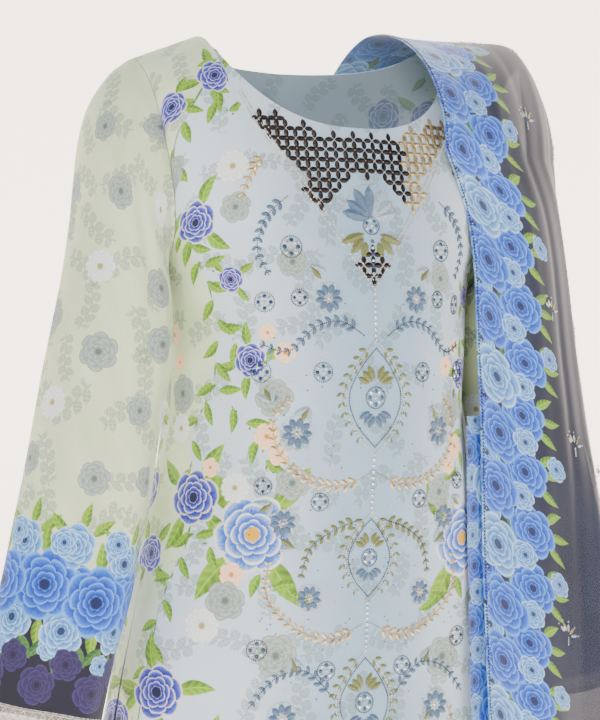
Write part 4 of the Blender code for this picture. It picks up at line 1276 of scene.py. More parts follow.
def noise(tree, vector, scale, detail=2.0):
    node = tree.nodes.new("ShaderNodeTexNoise")
    node.inputs["Scale"].default_value = scale
    node.inputs["Detail"].default_value = detail
    tree.links.new(vector, node.inputs["Vector"])
    return Val(tree, node.outputs["Fac"])


print("sage as linear colour:", [round(c, 3) for c in srgb(209, 218, 198)])

# %% [markdown]
# ## How a bloom is drawn
# Rings of petals lie inside one another. Each ring is dark where it meets the next one and light at
# its scalloped edge, and a little noise keeps the petals from being alike.

# %%
BLOOM_DARK = (
    srgb(22, 26, 78), srgb(52, 82, 132), srgb(22, 34, 92), srgb(214, 176, 148), srgb(178, 184, 190),
    srgb(30, 24, 50), srgb(112, 124, 122), srgb(34, 48, 122),
)
BLOOM_MID = (
    srgb(52, 62, 146), srgb(98, 140, 192), srgb(46, 82, 172), srgb(240, 212, 190), srgb(226, 230, 232),
    srgb(44, 38, 72), srgb(152, 163, 160), srgb(84, 118, 190),
)
BLOOM_LIGHT = (
    srgb(128, 140, 206), srgb(168, 198, 226), srgb(104, 146, 214), srgb(250, 236, 220), srgb(248, 248, 246),
    srgb(62, 54, 94), srgb(196, 203, 198), srgb(196, 214, 234),
)
BLOOM_EDGE = (
    srgb(240, 232, 214), srgb(196, 216, 236), srgb(132, 170, 224), srgb(226, 190, 160), srgb(206, 210, 212),
    srgb(70, 62, 104), srgb(128, 138, 136), srgb(244, 240, 226),
)
BLOOM_HEART = (
    srgb(18, 20, 60), srgb(36, 52, 92), srgb(20, 28, 76), srgb(196, 146, 92), srgb(170, 160, 120),
    srgb(26, 20, 44), srgb(104, 114, 112), srgb(206, 172, 84),
)


def bloom_group():
    tree, start, end = new_group(
        "bloom", [("Place", "NodeSocketVector")], [("Color", "NodeSocketColor"), ("Mask", "NodeSocketFloat")]
    )
    x, y, kind, seed = split_place(tree, start.outputs["Place"])
    wobble = noise(tree, start.outputs["Place"], 1.6) - 0.5
    angle = x.math("ARCTAN2", y, x) + seed * 6.28 + wobble * 0.9
    r = x.math("SQRT", x * x + y * y) + wobble * 0.16
    many = (abs(kind - MUM)).math("LESS_THAN", abs(kind - MUM), 0.5)
    few = kind.math("LESS_THAN", abs(kind - PEACH), 0.5)
    petals = 3.0 + many * 3.5 - few * 0.5
    tone, edge, mask = None, None, None
    for scale, turn in ((1.0, 0.0), (0.76, 1.3), (0.55, 2.9), (0.36, 4.1), (0.2, 5.0)):
        scallop = abs((angle * petals + turn).sin()) ** 0.55
        rim = (scallop * 0.2 + 0.78) * scale
        within = r / rim
        inside = (1.0 - within).above(0.0, 0.05 / scale**0.5)
        ring_tone = within**3.0 * 0.95 * (scallop * 0.55 + 0.45) + (1 - scale) * 0.10
        ring_edge = within.above(0.93, 0.06)
        if mask is None:
            tone, edge, mask = ring_tone, ring_edge, inside
        else:
            tone = tone + (ring_tone - tone) * inside
            edge = edge + (ring_edge - edge) * inside
    streaks = (angle * 31.0 + wobble * 20.0).sin() * 0.07
    tone = tone.math("ADD", tone, streaks * r, clamp=True)
    colour = mix(tree, tone.between(0.0, 0.45), palette(tree, kind, BLOOM_DARK), palette(tree, kind, BLOOM_MID))
    colour = mix(tree, tone.between(0.42, 0.95), colour, palette(tree, kind, BLOOM_LIGHT))
    colour = mix(tree, edge * 0.75, colour, palette(tree, kind, BLOOM_EDGE))
    heart = (0.17 - r).above(0.0, 0.08)
    colour = mix(tree, heart, colour, palette(tree, kind, BLOOM_HEART))
    tree.links.new(colour, end.inputs["Color"])
    tree.links.new(mask.socket, end.inputs["Mask"])
    return tree


LEAF_DARK = (srgb(66, 96, 52), srgb(40, 66, 52), srgb(140, 152, 142), srgb(52, 68, 88))
LEAF_LIGHT = (srgb(152, 182, 108), srgb(98, 130, 88), srgb(180, 190, 178), srgb(110, 140, 170))


def leaf_group():
    tree, start, end = new_group(
        "leaf", [("Place", "NodeSocketVector")], [("Color", "NodeSocketColor"), ("Mask", "NodeSocketFloat")]
    )
    x, y, kind, seed = split_place(tree, start.outputs["Place"])
    bow = 1.0 - x * x
    aside = y - (seed - 0.5) * 0.5 * bow
    wide = bow.math("MAXIMUM", bow, 0.0) * (0.36 - x * 0.12)
    mask = (wide - abs(aside)).above(0.0, 0.05)
    vein = (0.030 - abs(aside)).above(0.0, 0.03)
    ribs = ((x * 16.0 - abs(aside) * 14.0).sin() * 0.5 + 0.5) * 0.35
    side = aside.above(0.0, 0.5) * 0.55 + 0.15 + ribs
    colour = mix(tree, side.math("ADD", side, 0.0, clamp=True), palette(tree, kind, LEAF_DARK), palette(tree, kind, LEAF_LIGHT))
    colour = mix(tree, vein * 0.7, colour, palette(tree, kind, tuple(tuple(min(1.0, c * 1.35) for c in t) for t in LEAF_LIGHT)))
    tree.links.new(colour, end.inputs["Color"])
    tree.links.new(mask.socket, end.inputs["Mask"])
    return tree


def spray_group():
    """A grey sprig: a wavy stem with pairs of small leaves, and a bud at its tip."""
    tree, start, end = new_group("spray", [("Place", "NodeSocketVector")], [("Mask", "NodeSocketFloat")])
    x, y, kind, seed = split_place(tree, start.outputs["Place"])
    aside = y - (x * 2.6 + seed * 6.0).sin() * 0.14
    stem = (0.028 - abs(aside)).above(0.0, 0.03) * (0.92 - abs(x)).above(0.0, 0.04)
    pitch = 0.40
    shift = aside.above(0.0, 0.001) * 0.5
    cell = ((x + 1.0) / pitch + shift).fract() * pitch
    along = (cell + abs(aside)) * 0.7071
    across = abs(cell - abs(aside)) * 0.7071
    share = along / 0.46
    wide = share * (1.0 - share) * 0.62
    blade = (wide - across).above(0.0, 0.03) * (0.80 - abs(x)).above(0.0, 0.05)
    rib = (0.012 - across).above(0.0, 0.02)
    shade = (along * 60.0).sin() * 0.2 + 0.75
    mask = stem.math("MAXIMUM", stem * 0.9, blade * shade * (1.0 - rib * 0.5))
    tree.links.new(mask.socket, end.inputs["Mask"])
    return tree


BLOOM, LEAF, SPRAY = bloom_group(), leaf_group(), spray_group()
print("bloom group has", len(BLOOM.nodes), "nodes")

# %% [markdown]
# ## The cloth itself
# `weave_group` gives the slubby threads of lawn as a small height and a change of tone. The flat
# coordinates stored on the mesh keep the threads running along the cloth.

# %%
def weave_group():
    tree, start, end = new_group(
        "weave",
        [("Flat", "NodeSocketVector"), ("Threads", "NodeSocketFloat")],
        [("Height", "NodeSocketFloat"), ("Tone", "NodeSocketFloat")],
    )
    node = tree.nodes.new("ShaderNodeSeparateXYZ")
    tree.links.new(start.outputs["Flat"], node.inputs[0])
    u, v = Val(tree, node.outputs[0]), Val(tree, node.outputs[1])
    threads = Val(tree, start.outputs["Threads"])
    layers = []
    for long_way, cross_way in ((u, v), (v, u)):
        stretched = tree.nodes.new("ShaderNodeCombineXYZ")
        tree.links.new((long_way * threads * 0.05).socket, stretched.inputs[0])
        tree.links.new((cross_way * threads).socket, stretched.inputs[1])
        layers.append(noise(tree, stretched.outputs[0], 1.0, 1.0))
    height = (layers[0] + layers[1]) * 0.5
    tree.links.new(height.socket, end.inputs["Height"])
    tree.links.new(height.between(0.3, 0.7).socket, end.inputs["Tone"])
    return tree


WEAVE = weave_group()


def use_group(tree, group, **sockets):
    node = tree.nodes.new("ShaderNodeGroup")
    node.node_tree = group
    for label, value in sockets.items():
        if isinstance(value, Val):
            tree.links.new(value.socket, node.inputs[label])
        elif isinstance(value, bpy.types.NodeSocket):
            tree.links.new(value, node.inputs[label])
        else:
            node.inputs[label].default_value = value
    return node


def attribute(tree, name):
    node = tree.nodes.new("ShaderNodeAttribute")
    node.attribute_name = name
    return node


def motif_layer(tree, group, name):
    """One layer of motifs: its drawing, masked out between motifs."""
    stored = attribute(tree, name)
    node = use_group(tree, group, Place=stored.outputs["Vector"])
    inside = (0.0 - Val(tree, stored.outputs["Alpha"])).above(-0.0004, 0.0006)
    return Val(tree, node.outputs["Mask"]) * inside, node


def printed_material(name, ground, blooms, leaves, sprays, stems=False, tone_spray=(120, 134, 130)):
    """Layers of print over a ground; the paler wrong side and the weave are added by `finish_printed`."""
    material = bpy.data.materials.new(name)
    material.use_nodes = True
    tree = material.node_tree
    shader = tree.nodes["Principled BSDF"]
    colour = ground(tree)
    for i in range(sprays):
        mask, _ = motif_layer(tree, SPRAY, f"spray_{i}")
        colour = mix(tree, mask * 0.62, colour, srgb(*tone_spray))
    if stems:
        distance = Val(tree, attribute(tree, "stem").outputs["Fac"])
        colour = mix(tree, (0.0011 - distance).above(0.0, 0.0006), colour, srgb(104, 132, 84))
    for kind, group, count in (("leaf", LEAF, leaves), ("bloom", BLOOM, blooms)):
        for i in range(count):
            mask, node = motif_layer(tree, group, f"{kind}_{i}")
            colour = mix(tree, mask, colour, node.outputs["Color"])
    return material, tree, shader, colour


def finish_printed(tree, shader, colour, threads, wrong_side, wrong_mix, roughness, sheen, bump=0.25):
    weave = use_group(tree, WEAVE, Flat=attribute(tree, "flat").outputs["Vector"], Threads=threads)
    tone = Val(tree, weave.outputs["Tone"])
    colour = mix(tree, Val(tree, attribute(tree, "wrong_side").outputs["Fac"]) * wrong_mix, colour, wrong_side)
    dark = tree.nodes.new("ShaderNodeMixRGB")
    dark.blend_type = "MULTIPLY"
    tree.links.new((0.16 - tone * 0.16).socket, dark.inputs[0])
    tree.links.new(colour, dark.inputs[1])
    dark.inputs[2].default_value = (0.45, 0.45, 0.45, 1)
    tree.links.new(dark.outputs[0], shader.inputs["Base Color"])
    bumps = tree.nodes.new("ShaderNodeBump")
    bumps.inputs["Strength"].default_value = bump
    bumps.inputs["Distance"].default_value = 0.0004
    tree.links.new(weave.outputs["Height"], bumps.inputs["Height"])
    tree.links.new(bumps.outputs[0], shader.inputs["Normal"])
    shader.inputs["Roughness"].default_value = roughness
    shader.inputs["Sheen Weight"].default_value = sheen
    shader.inputs["Sheen Roughness"].default_value = 0.5
    return dark.outputs[0]


def lawn_ground(tree):
    """Grey-blue centre, paler towards the vine, and sage outside it."""
    side = Val(tree, attribute(tree, "ground").outputs["Fac"])
    deep = Val(tree, attribute(tree, "deep").outputs["Fac"])
    cloud = noise(tree, attribute(tree, "flat").outputs["Vector"], 22.0, 3.0)
    blue = mix(tree, deep.math("MULTIPLY_ADD", cloud - 0.5, 0.5, deep, clamp=True), srgb(208, 219, 228), srgb(158, 178, 196))
    pale_sage = mix(tree, cloud.between(0.3, 0.7), srgb(204, 216, 190), srgb(222, 230, 210))
    return mix(tree, side, blue, pale_sage)


def sleeve_ground(tree):
    navy_mask = Val(tree, attribute(tree, "navy").outputs["Fac"])
    cloud = noise(tree, attribute(tree, "flat").outputs["Vector"], 22.0, 3.0)
    pale_sage = mix(tree, cloud.between(0.3, 0.7), srgb(202, 214, 188), srgb(220, 228, 207))
    return mix(tree, navy_mask, pale_sage, srgb(22, 22, 42))


def scarf_ground(tree):
    cloud = noise(tree, attribute(tree, "flat").outputs["Vector"], 9.0, 3.0)
    return mix(tree, cloud.between(0.3, 0.7), srgb(20, 24, 46), srgb(30, 36, 62))


lawn, tree, shader, colour = printed_material("printed_lawn", lawn_ground, 3, 4, 3, stems=True)
finish_printed(tree, shader, colour, 1500.0, srgb(176, 190, 198), 0.55, 0.78, 0.12)
sage, tree, shader, colour = printed_material("sleeve_lawn", sleeve_ground, 4, 4, 3)
finish_printed(tree, shader, colour, 1500.0, srgb(190, 200, 186), 0.55, 0.78, 0.12)
organza, tree, shader, colour = printed_material("dupatta_organza", scarf_ground, 4, 4, 0)
finish_printed(tree, shader, colour, 1100.0, srgb(150, 165, 160), 0.40, 0.5, 0.25)
sheer = Val(tree, attribute(tree, "sheer").outputs["Fac"])
tree.links.new((0.95 - sheer * 0.13).socket, shader.inputs["Alpha"])

# %%
def plain_cloth(name, colour, roughness=0.8):
    material = bpy.data.materials.new(name)
    material.use_nodes = True
    shader = material.node_tree.nodes["Principled BSDF"]
    shader.inputs["Base Color"].default_value = (*colour, 1)
    shader.inputs["Roughness"].default_value = roughness
    return material


# %% [markdown]
# ## From the flat chart back to the cloth
# Beads and threads are charted in the same flat metres as the print. `Surface` finds the place and
# the outward direction on a sheet for any flat point.

# %%
class Surface:
    """Points and normals of a sheet, found by flat coordinates."""

    def __init__(self, grid, normals, flat):
        columns = grid.shape[1]
        self.grid, self.normals = grid, normals
        self.u, self.v = flat[0][:, :columns], flat[1][:, :columns]
        self.tree = kdtree.KDTree(self.u.size)
        for i, (u, v) in enumerate(zip(self.u.ravel(), self.v.ravel())):
            self.tree.insert((u, v, 0), i)
        self.tree.balance()

    def at(self, u, v, lift=0.0):
        rows, columns = self.u.shape
        i, j = divmod(self.tree.find((u, v, 0))[1], columns)
        i, j = min(max(i, 1), rows - 2), min(max(j, 1), columns - 2)
        du_dj = (self.u[i, j + 1] - self.u[i, j - 1]) / 2
        du_di = (self.u[i + 1, j] - self.u[i - 1, j]) / 2
        dv_dj = (self.v[i, j + 1] - self.v[i, j - 1]) / 2
        dv_di = (self.v[i + 1, j] - self.v[i - 1, j]) / 2
        det = du_dj * dv_di - du_di * dv_dj
        du, dv = u - self.u[i, j], v - self.v[i, j]
        dj = (du * dv_di - dv * du_di) / det
        di = (dv * du_dj - du * dv_dj) / det
        point = self.grid[i, j] + dj * (self.grid[i, j + 1] - self.grid[i, j - 1]) / 2
        point = point + di * (self.grid[i + 1, j] - self.grid[i - 1, j]) / 2
        normal = self.normals[i, j]
        return point + normal * lift, normal


on_front = Surface(front_grid, front_normals, front_flat)
on_scarf = Surface(dupatta_grid, dupatta_normals, dupatta_flat)
print("middle of the chest:", [round(float(c), 3) for c in on_front.at(0, 0.25)[0]])

# %% [markdown]
# ## Beads, stones and stitches
# Each small shape is made once, one unit long, with X along the line it is sewn on and Z away from
# the cloth. Two Geometry Nodes trees repeat them: along lines, and on single points.

# %%
def shape_mesh(name, points, faces):
    mesh = bpy.data.meshes.new(name)
    mesh.from_pydata(points, [], faces)
    shape = bpy.data.objects.new(name, mesh)
    bpy.context.scene.collection.objects.link(shape)
    return shape


def round_bead():
    """A ball of 20 triangles; smooth shading rounds it at this size."""
    import bmesh

    mesh = bpy.data.meshes.new("round_bead")
    bm = bmesh.new()
    bmesh.ops.create_icosphere(bm, subdivisions=1, radius=0.5)
    bm.to_mesh(mesh)
    bm.free()
    mesh.shade_smooth()
    shape = bpy.data.objects.new("round_bead", mesh)
    bpy.context.scene.collection.objects.link(shape)
    return shape


def leaf_shape():
    """A pointed leaf with a raised middle ridge, like a cut metal leaf or a satin-stitch petal."""
    outline = [(0.5, 0.0), (0.30, 0.36), (0.0, 0.5), (-0.30, 0.36), (-0.5, 0.0), (-0.30, -0.36), (0.0, -0.5), (0.30, -0.36)]
    points = [(x, y, 0.0) for x, y in outline] + [(0.26, 0, 0.42), (0, 0, 0.5), (-0.26, 0, 0.42), (0, 0, -0.05)]
    faces = [(0, 1, 8), (1, 2, 9, 8), (2, 3, 10, 9), (3, 4, 10), (4, 5, 10), (5, 6, 9, 10), (6, 7, 8, 9), (7, 0, 8)]
    faces += [((i + 1) % 8, i, 11) for i in range(8)]
    return shape_mesh("leaf_shape", points, faces)


def stone_shape():
    """A cut stone: eight sides, a flat table on top and a flat back."""
    points, faces = [], []
    for radius, height in ((0.46, 0.0), (0.5, 0.18), (0.28, 0.5)):
        points += [(radius * math.cos(a), radius * math.sin(a), height) for a in np.arange(8) * math.pi / 4]
    for ring in (0, 8):
        faces += [(ring + i, ring + (i + 1) % 8, ring + 8 + (i + 1) % 8, ring + 8 + i) for i in range(8)]
    faces += [tuple(range(7, -1, -1)), tuple(range(16, 24))]
    return shape_mesh("stone_shape", points, faces)


def bugle_shape():
    """A short six-sided rod lying along the line."""
    ring = [(0.5 * math.cos(a), 0.5 * math.sin(a)) for a in np.arange(6) * math.pi / 3]
    points = [(-0.5, y, z) for y, z in ring] + [(0.5, y, z) for y, z in ring]
    faces = [(i, i + 6, (i + 1) % 6 + 6, (i + 1) % 6) for i in range(6)]
    faces += [tuple(range(6)), tuple(range(11, 5, -1))]
    return shape_mesh("bugle_shape", points, [face[::-1] for face in faces])


def bead_tree(name, on_lines):
    """Beads instanced along lines or on points, turned by the stored outward direction."""
    tree = bpy.data.node_groups.new(name, "GeometryNodeTree")
    sockets = (("Geometry", "NodeSocketGeometry"), ("Bead", "NodeSocketObject"), ("Size", "NodeSocketVector"),
               ("Spacing", "NodeSocketFloat"), ("Unevenness", "NodeSocketFloat"), ("Material", "NodeSocketMaterial"))
    for label, kind in sockets:
        tree.interface.new_socket(label, in_out="INPUT", socket_type=kind)
    tree.interface.new_socket("Geometry", in_out="OUTPUT", socket_type="NodeSocketGeometry")
    nodes, link = tree.nodes, tree.links.new
    start, end = nodes.new("NodeGroupInput"), nodes.new("NodeGroupOutput")
    out = nodes.new("GeometryNodeInputNamedAttribute")
    out.data_type = "FLOAT_VECTOR"
    out.inputs["Name"].default_value = "out"
    turn = nodes.new("FunctionNodeAxesToRotation")
    turn.primary_axis, turn.secondary_axis = "Z", "X"
    link(out.outputs["Attribute"], turn.inputs["Primary Axis"])
    if on_lines:
        curve = nodes.new("GeometryNodeMeshToCurve")
        resample = nodes.new("GeometryNodeResampleCurve")
        resample.mode = "LENGTH"
        tangent = nodes.new("GeometryNodeInputTangent")
        link(start.outputs["Geometry"], curve.inputs["Mesh"])
        link(curve.outputs["Curve"], resample.inputs["Curve"])
        link(start.outputs["Spacing"], resample.inputs["Length"])
        link(tangent.outputs["Tangent"], turn.inputs["Secondary Axis"])
        spots = resample.outputs["Curve"]
    else:
        along = nodes.new("GeometryNodeInputNamedAttribute")
        along.data_type = "FLOAT_VECTOR"
        along.inputs["Name"].default_value = "along"
        link(along.outputs["Attribute"], turn.inputs["Secondary Axis"])
        spots = start.outputs["Geometry"]
    grow = nodes.new("GeometryNodeInputNamedAttribute")
    grow.data_type = "FLOAT_VECTOR"
    grow.inputs["Name"].default_value = "grow"
    chance = nodes.new("FunctionNodeRandomValue")
    chance.inputs["Seed"].default_value = 5
    low = nodes.new("ShaderNodeMath")
    low.operation = "SUBTRACT"
    low.inputs[0].default_value = 1.0
    link(start.outputs["Unevenness"], low.inputs[1])
    link(low.outputs[0], chance.inputs[2])
    chance.inputs[3].default_value = 1.0
    scale = nodes.new("ShaderNodeVectorMath")
    scale.operation = "MULTIPLY"
    link(grow.outputs["Attribute"], scale.inputs[0])
    link(start.outputs["Size"], scale.inputs[1])
    uneven = nodes.new("ShaderNodeVectorMath")
    uneven.operation = "SCALE"
    link(scale.outputs[0], uneven.inputs[0])
    link(chance.outputs[1], uneven.inputs["Scale"])
    bead = nodes.new("GeometryNodeObjectInfo")
    link(start.outputs["Bead"], bead.inputs["Object"])
    place = nodes.new("GeometryNodeInstanceOnPoints")
    link(spots, place.inputs["Points"])
    link(bead.outputs["Geometry"], place.inputs["Instance"])
    link(turn.outputs["Rotation"], place.inputs["Rotation"])
    link(uneven.outputs[0], place.inputs["Scale"])
    real = nodes.new("GeometryNodeRealizeInstances")
    paint = nodes.new("GeometryNodeSetMaterial")
    link(place.outputs["Instances"], real.inputs["Geometry"])
    link(real.outputs["Geometry"], paint.inputs["Geometry"])
    link(start.outputs["Material"], paint.inputs["Material"])
    link(paint.outputs["Geometry"], end.inputs["Geometry"])
    return tree


BEADS_ON_LINES, BEADS_ON_POINTS = bead_tree("beads_on_lines", True), bead_tree("beads_on_points", False)
SHAPES = {"round": round_bead(), "leaf": leaf_shape(), "stone": stone_shape(), "bugle": bugle_shape()}


def run_tree(name, mesh, tree, **inputs):
    """Run a tree on a mesh and keep the result as a plain mesh."""
    carrier = bpy.data.objects.new(name + "_lines", mesh)
    bpy.context.scene.collection.objects.link(carrier)
    modifier = carrier.modifiers.new("nodes", "NODES")
    modifier.node_group = tree
    for item in tree.interface.items_tree:
        if item.in_out == "INPUT" and item.name in inputs:
            modifier[item.identifier] = inputs[item.name]
    graph = bpy.context.evaluated_depsgraph_get()
    graph.update()
    made = bpy.data.meshes.new_from_object(carrier.evaluated_get(graph))
    made.name = name
    bpy.data.objects.remove(carrier, do_unlink=True)
    piece = bpy.data.objects.new(name, made)
    bpy.context.scene.collection.objects.link(piece)
    return piece


def line_mesh(surface, lines, lift):
    """Lines charted on the flat cloth, as edges that lie just above it."""
    points, edges, out = [], [], []
    for line in lines:
        for k, (u, v) in enumerate(line):
            point, normal = surface.at(u, v, lift)
            if k:
                edges.append((len(points) - 1, len(points)))
            points.append(tuple(point))
            out.append(normal)
    mesh = bpy.data.meshes.new("lines")
    mesh.from_pydata(points, edges, [])
    put_attribute(mesh, "out", np.array(out))
    put_attribute(mesh, "grow", np.ones((len(points), 3)))
    return mesh


def point_mesh(surface, spots, lift):
    """Single stitches: u, v, turn, length and width of each."""
    points, out, along, grow = [], [], [], []
    for u, v, turn, length, width in spots:
        point, normal = surface.at(u, v, lift)
        a = math.radians(turn)
        ahead = surface.at(u + 0.002 * math.cos(a), v + 0.002 * math.sin(a), lift)[0]
        points.append(tuple(point))
        out.append(normal)
        along.append(ahead - point)
        grow.append((length, width, (length + width) / 2))
    mesh = bpy.data.meshes.new("spots")
    mesh.from_pydata(points, [], [])
    for label, values in (("out", out), ("along", along), ("grow", grow)):
        put_attribute(mesh, label, np.array(values))
    return mesh


embroidery = []


def sew_lines(name, surface, lines, shape, size, spacing, material, lift=0.0005, uneven=0.15):
    mesh = line_mesh(surface, lines, lift)
    piece = run_tree(name, mesh, BEADS_ON_LINES, Bead=SHAPES[shape], Size=size, Spacing=spacing,
                     Unevenness=uneven, Material=material)
    embroidery.append(piece)
    return piece


def sew_spots(name, surface, spots, shape, size, material, lift=0.0003, uneven=0.1):
    mesh = point_mesh(surface, spots, lift)
    piece = run_tree(name, mesh, BEADS_ON_POINTS, Bead=SHAPES[shape], Size=size, Spacing=1.0,
                     Unevenness=uneven, Material=material)
    embroidery.append(piece)
    return piece


print("shapes:", {name: len(shape.data.polygons) for name, shape in SHAPES.items()})

# %% [markdown]
# ## Metals, stones and threads

# %%
def shiny(name, colour, metal, rough, coat=0.0):
    """Metal or glass, with a little unevenness of tone and polish."""
    material = plain_cloth(name, colour, rough)
    tree = material.node_tree
    shader = tree.nodes["Principled BSDF"]
    place = tree.nodes.new("ShaderNodeTexCoord").outputs["Object"]
    spots = noise(tree, place, 260.0, 1.0)
    darker = tuple(c * 0.55 for c in colour)
    tree.links.new(mix(tree, spots.between(0.35, 0.65), darker, colour), shader.inputs["Base Color"])
    tree.links.new((spots * 0.25 + (rough - 0.1)).socket, shader.inputs["Roughness"])
    shader.inputs["Metallic"].default_value = metal
    shader.inputs["Coat Weight"].default_value = coat
    return material


def thread(name, colour):
    """Satin stitch: fine lines of painted sheen, light and dark, over the thread's colour, and a silky sheen."""
    material = plain_cloth(name, colour, 0.5)
    tree = material.node_tree
    shader = tree.nodes["Principled BSDF"]
    place = tree.nodes.new("ShaderNodeTexCoord").outputs["Object"]
    sheen_strands = noise(tree, place, 900.0, 2.0)
    darker = tuple(c * 0.5 for c in colour)
    # Painted sheen: the strands darken the thread colour in fine lines, and the same strands give the bumps.
    tree.links.new(mix(tree, sheen_strands.between(0.35, 0.65), darker, colour), shader.inputs["Base Color"])
    bumps = tree.nodes.new("ShaderNodeBump")
    bumps.inputs["Strength"].default_value = 0.4
    bumps.inputs["Distance"].default_value = 0.0003
    tree.links.new(sheen_strands.socket, bumps.inputs["Height"])
    tree.links.new(bumps.outputs[0], shader.inputs["Normal"])
    shader.inputs["Sheen Weight"].default_value = 0.3
    return material


bronze = shiny("bronze", srgb(64, 58, 56), 0.85, 0.35)
gold = shiny("gold", srgb(216, 200, 168), 0.8, 0.32)
pearl = shiny("pearl", srgb(226, 220, 208), 0.15, 0.3, 0.4)
glass = shiny("glass", srgb(214, 222, 228), 0.55, 0.14, 0.6)
slate_bead = shiny("slate_bead", srgb(70, 92, 116), 0.4, 0.28, 0.4)
slate_thread = thread("slate_thread", srgb(96, 118, 142))
pale_thread = thread("pale_thread", srgb(176, 190, 202))
olive_thread = thread("olive_thread", srgb(122, 128, 88))
cream_thread = thread("cream_thread", srgb(214, 208, 192))
print("finishes:", [m.name for m in (bronze, gold, pearl, glass, slate_bead, slate_thread, olive_thread)])

# %% [markdown]
# ## The embroidered front
# A yoke with curved sides under the neckline holds a trellis of leaf-shaped spangles. Below it a
# column of pointed medallions hangs on the middle line, with rosettes and leafy scrolls at both
# sides. Every part is charted for the right half and mirrored.

# %%
stitch = {"bronze_leaf": [], "gold_leaf": [], "slate_leaf": [], "pale_leaf": [], "olive_leaf": [],
          "glass_stone": [], "gold_stone": [], "slate_stone": [], "pearl_bead": []}
rows_of = {"cream": [], "bronze": [], "gold": [], "white": [], "slate": []}


def both_halves(line):
    return [line, [(-u, v) for u, v in line]]


def spot(kind, u, v, turn=0.0, length=1.0, width=None, mirror=True):
    width = length if width is None else width
    stitch[kind].append((u, v, turn, length, width))
    if mirror:
        stitch[kind].append((-u, v, 180 - turn, length, width))


def arc(u, v, radius_u, radius_v, start, stop, steps=20):
    turns = np.radians(np.linspace(start, stop, steps))
    return [(u + radius_u * math.cos(a), v + radius_v * math.sin(a)) for a in turns]


def rosette(u, v, radius, petals=9, mirror=True, leaf="slate_leaf"):
    """A round flower: stones in the middle, thread petals round them and a ring of beads."""
    for k in range(petals):
        a = 360 / petals * k + u * 3000
        spot(leaf, u + 0.60 * radius * math.cos(math.radians(a)), v + 0.60 * radius * math.sin(math.radians(a)),
             a, radius * 0.62, radius * 0.36, mirror)
    for k in range(6):
        a = math.radians(60 * k + 15)
        spot("gold_stone", u + 0.25 * radius * math.cos(a), v + 0.25 * radius * math.sin(a), 0, 0.0021, None, mirror)
    spot("glass_stone", u, v, 0, 0.0036, None, mirror)
    ring = arc(u, v, radius * 0.98, radius * 0.98, 0, 360, 25)
    rows_of["white"] += both_halves(ring) if mirror else [ring]


def stone_flower(u, v, radius, stones=8, mirror=True):
    """A flower of cut stones round a pearl."""
    for k in range(stones):
        a = math.radians(360 / stones * k)
        kind = "glass_stone" if k % 2 else "slate_stone"
        spot(kind, u + 0.66 * radius * math.cos(a), v + 0.66 * radius * math.sin(a), 0, radius * 0.46, None, mirror)
    spot("pearl_bead", u, v, 0, radius * 0.42, None, mirror)
    ring = arc(u, v, radius * 1.05, radius * 1.05, 0, 360, 21)
    rows_of["bronze"] += both_halves(ring) if mirror else [ring]


def leafy(line, step, length, leaf, width=0.42, skip=0.1, mirror=True):
    """Pairs of leaves along a scroll, smaller towards its tip."""
    points = np.array(line)
    walked = np.concatenate([[0], np.cumsum(np.hypot(*np.diff(points, axis=0).T))])
    total, side = walked[-1], 1
    for s in np.arange(total * skip, total, step):
        u, v = np.interp(s, walked, points[:, 0]), np.interp(s, walked, points[:, 1])
        u2, v2 = np.interp(s + 0.001, walked, points[:, 0]), np.interp(s + 0.001, walked, points[:, 1])
        heading = math.degrees(math.atan2(v2 - v, u2 - u))
        size = length * (1.0 - 0.45 * s / total)
        for way in (1, -1):
            a = heading + way * 42
            reach = size * 0.62
            spot(leaf, u + reach * math.cos(math.radians(a)), v + reach * math.sin(math.radians(a)),
                 a, size, size * width, mirror)


YOKE_SIDE = curved([(0.128, 0.052), (0.104, 0.086), (0.076, 0.122), (0.052, 0.156), (0.026, 0.192), (0.0, 0.228)])
yoke_array = np.array(YOKE_SIDE)[::-1]
for inset in (0.0, 0.0045):
    rows_of["cream"] += both_halves([(max(u - inset, 0.0), v - inset * 0.4) for u, v in YOKE_SIDE])


def in_yoke(u, v, margin):
    """True inside the yoke, clear of the neckline and of the palmette in its middle."""
    neck = 0.086 * (1 - min(abs(u) / 0.155, 1) ** 2.2) ** 0.8
    side = np.interp(v, yoke_array[::-1, 1], yoke_array[::-1, 0])
    palmette = math.hypot(u / 0.042, (v - 0.158) / 0.034) < 1
    return v > neck + margin and abs(u) < side - margin and not palmette


PITCH = 0.0186
for i in range(-9, 10):
    for j in range(0, 22):
        u, v = i * PITCH + PITCH / 2 * (j % 2), 0.03 + j * PITCH / 2
        if in_yoke(u, v, 0.006):
            kind = "gold_leaf" if u > 0.045 else "bronze_leaf"
            for k in range(4):
                a = 90 * k
                spot(kind, u + 0.0048 * math.cos(math.radians(a)), v + 0.0048 * math.sin(math.radians(a)),
                     a, 0.0080, 0.0040, False)
            spot("pearl_bead", u, v, 0, 0.0016, None, False)
        u += PITCH / 2
        if in_yoke(u, v, 0.004):
            spot("pearl_bead", u, v, 0, 0.0012, None, False)

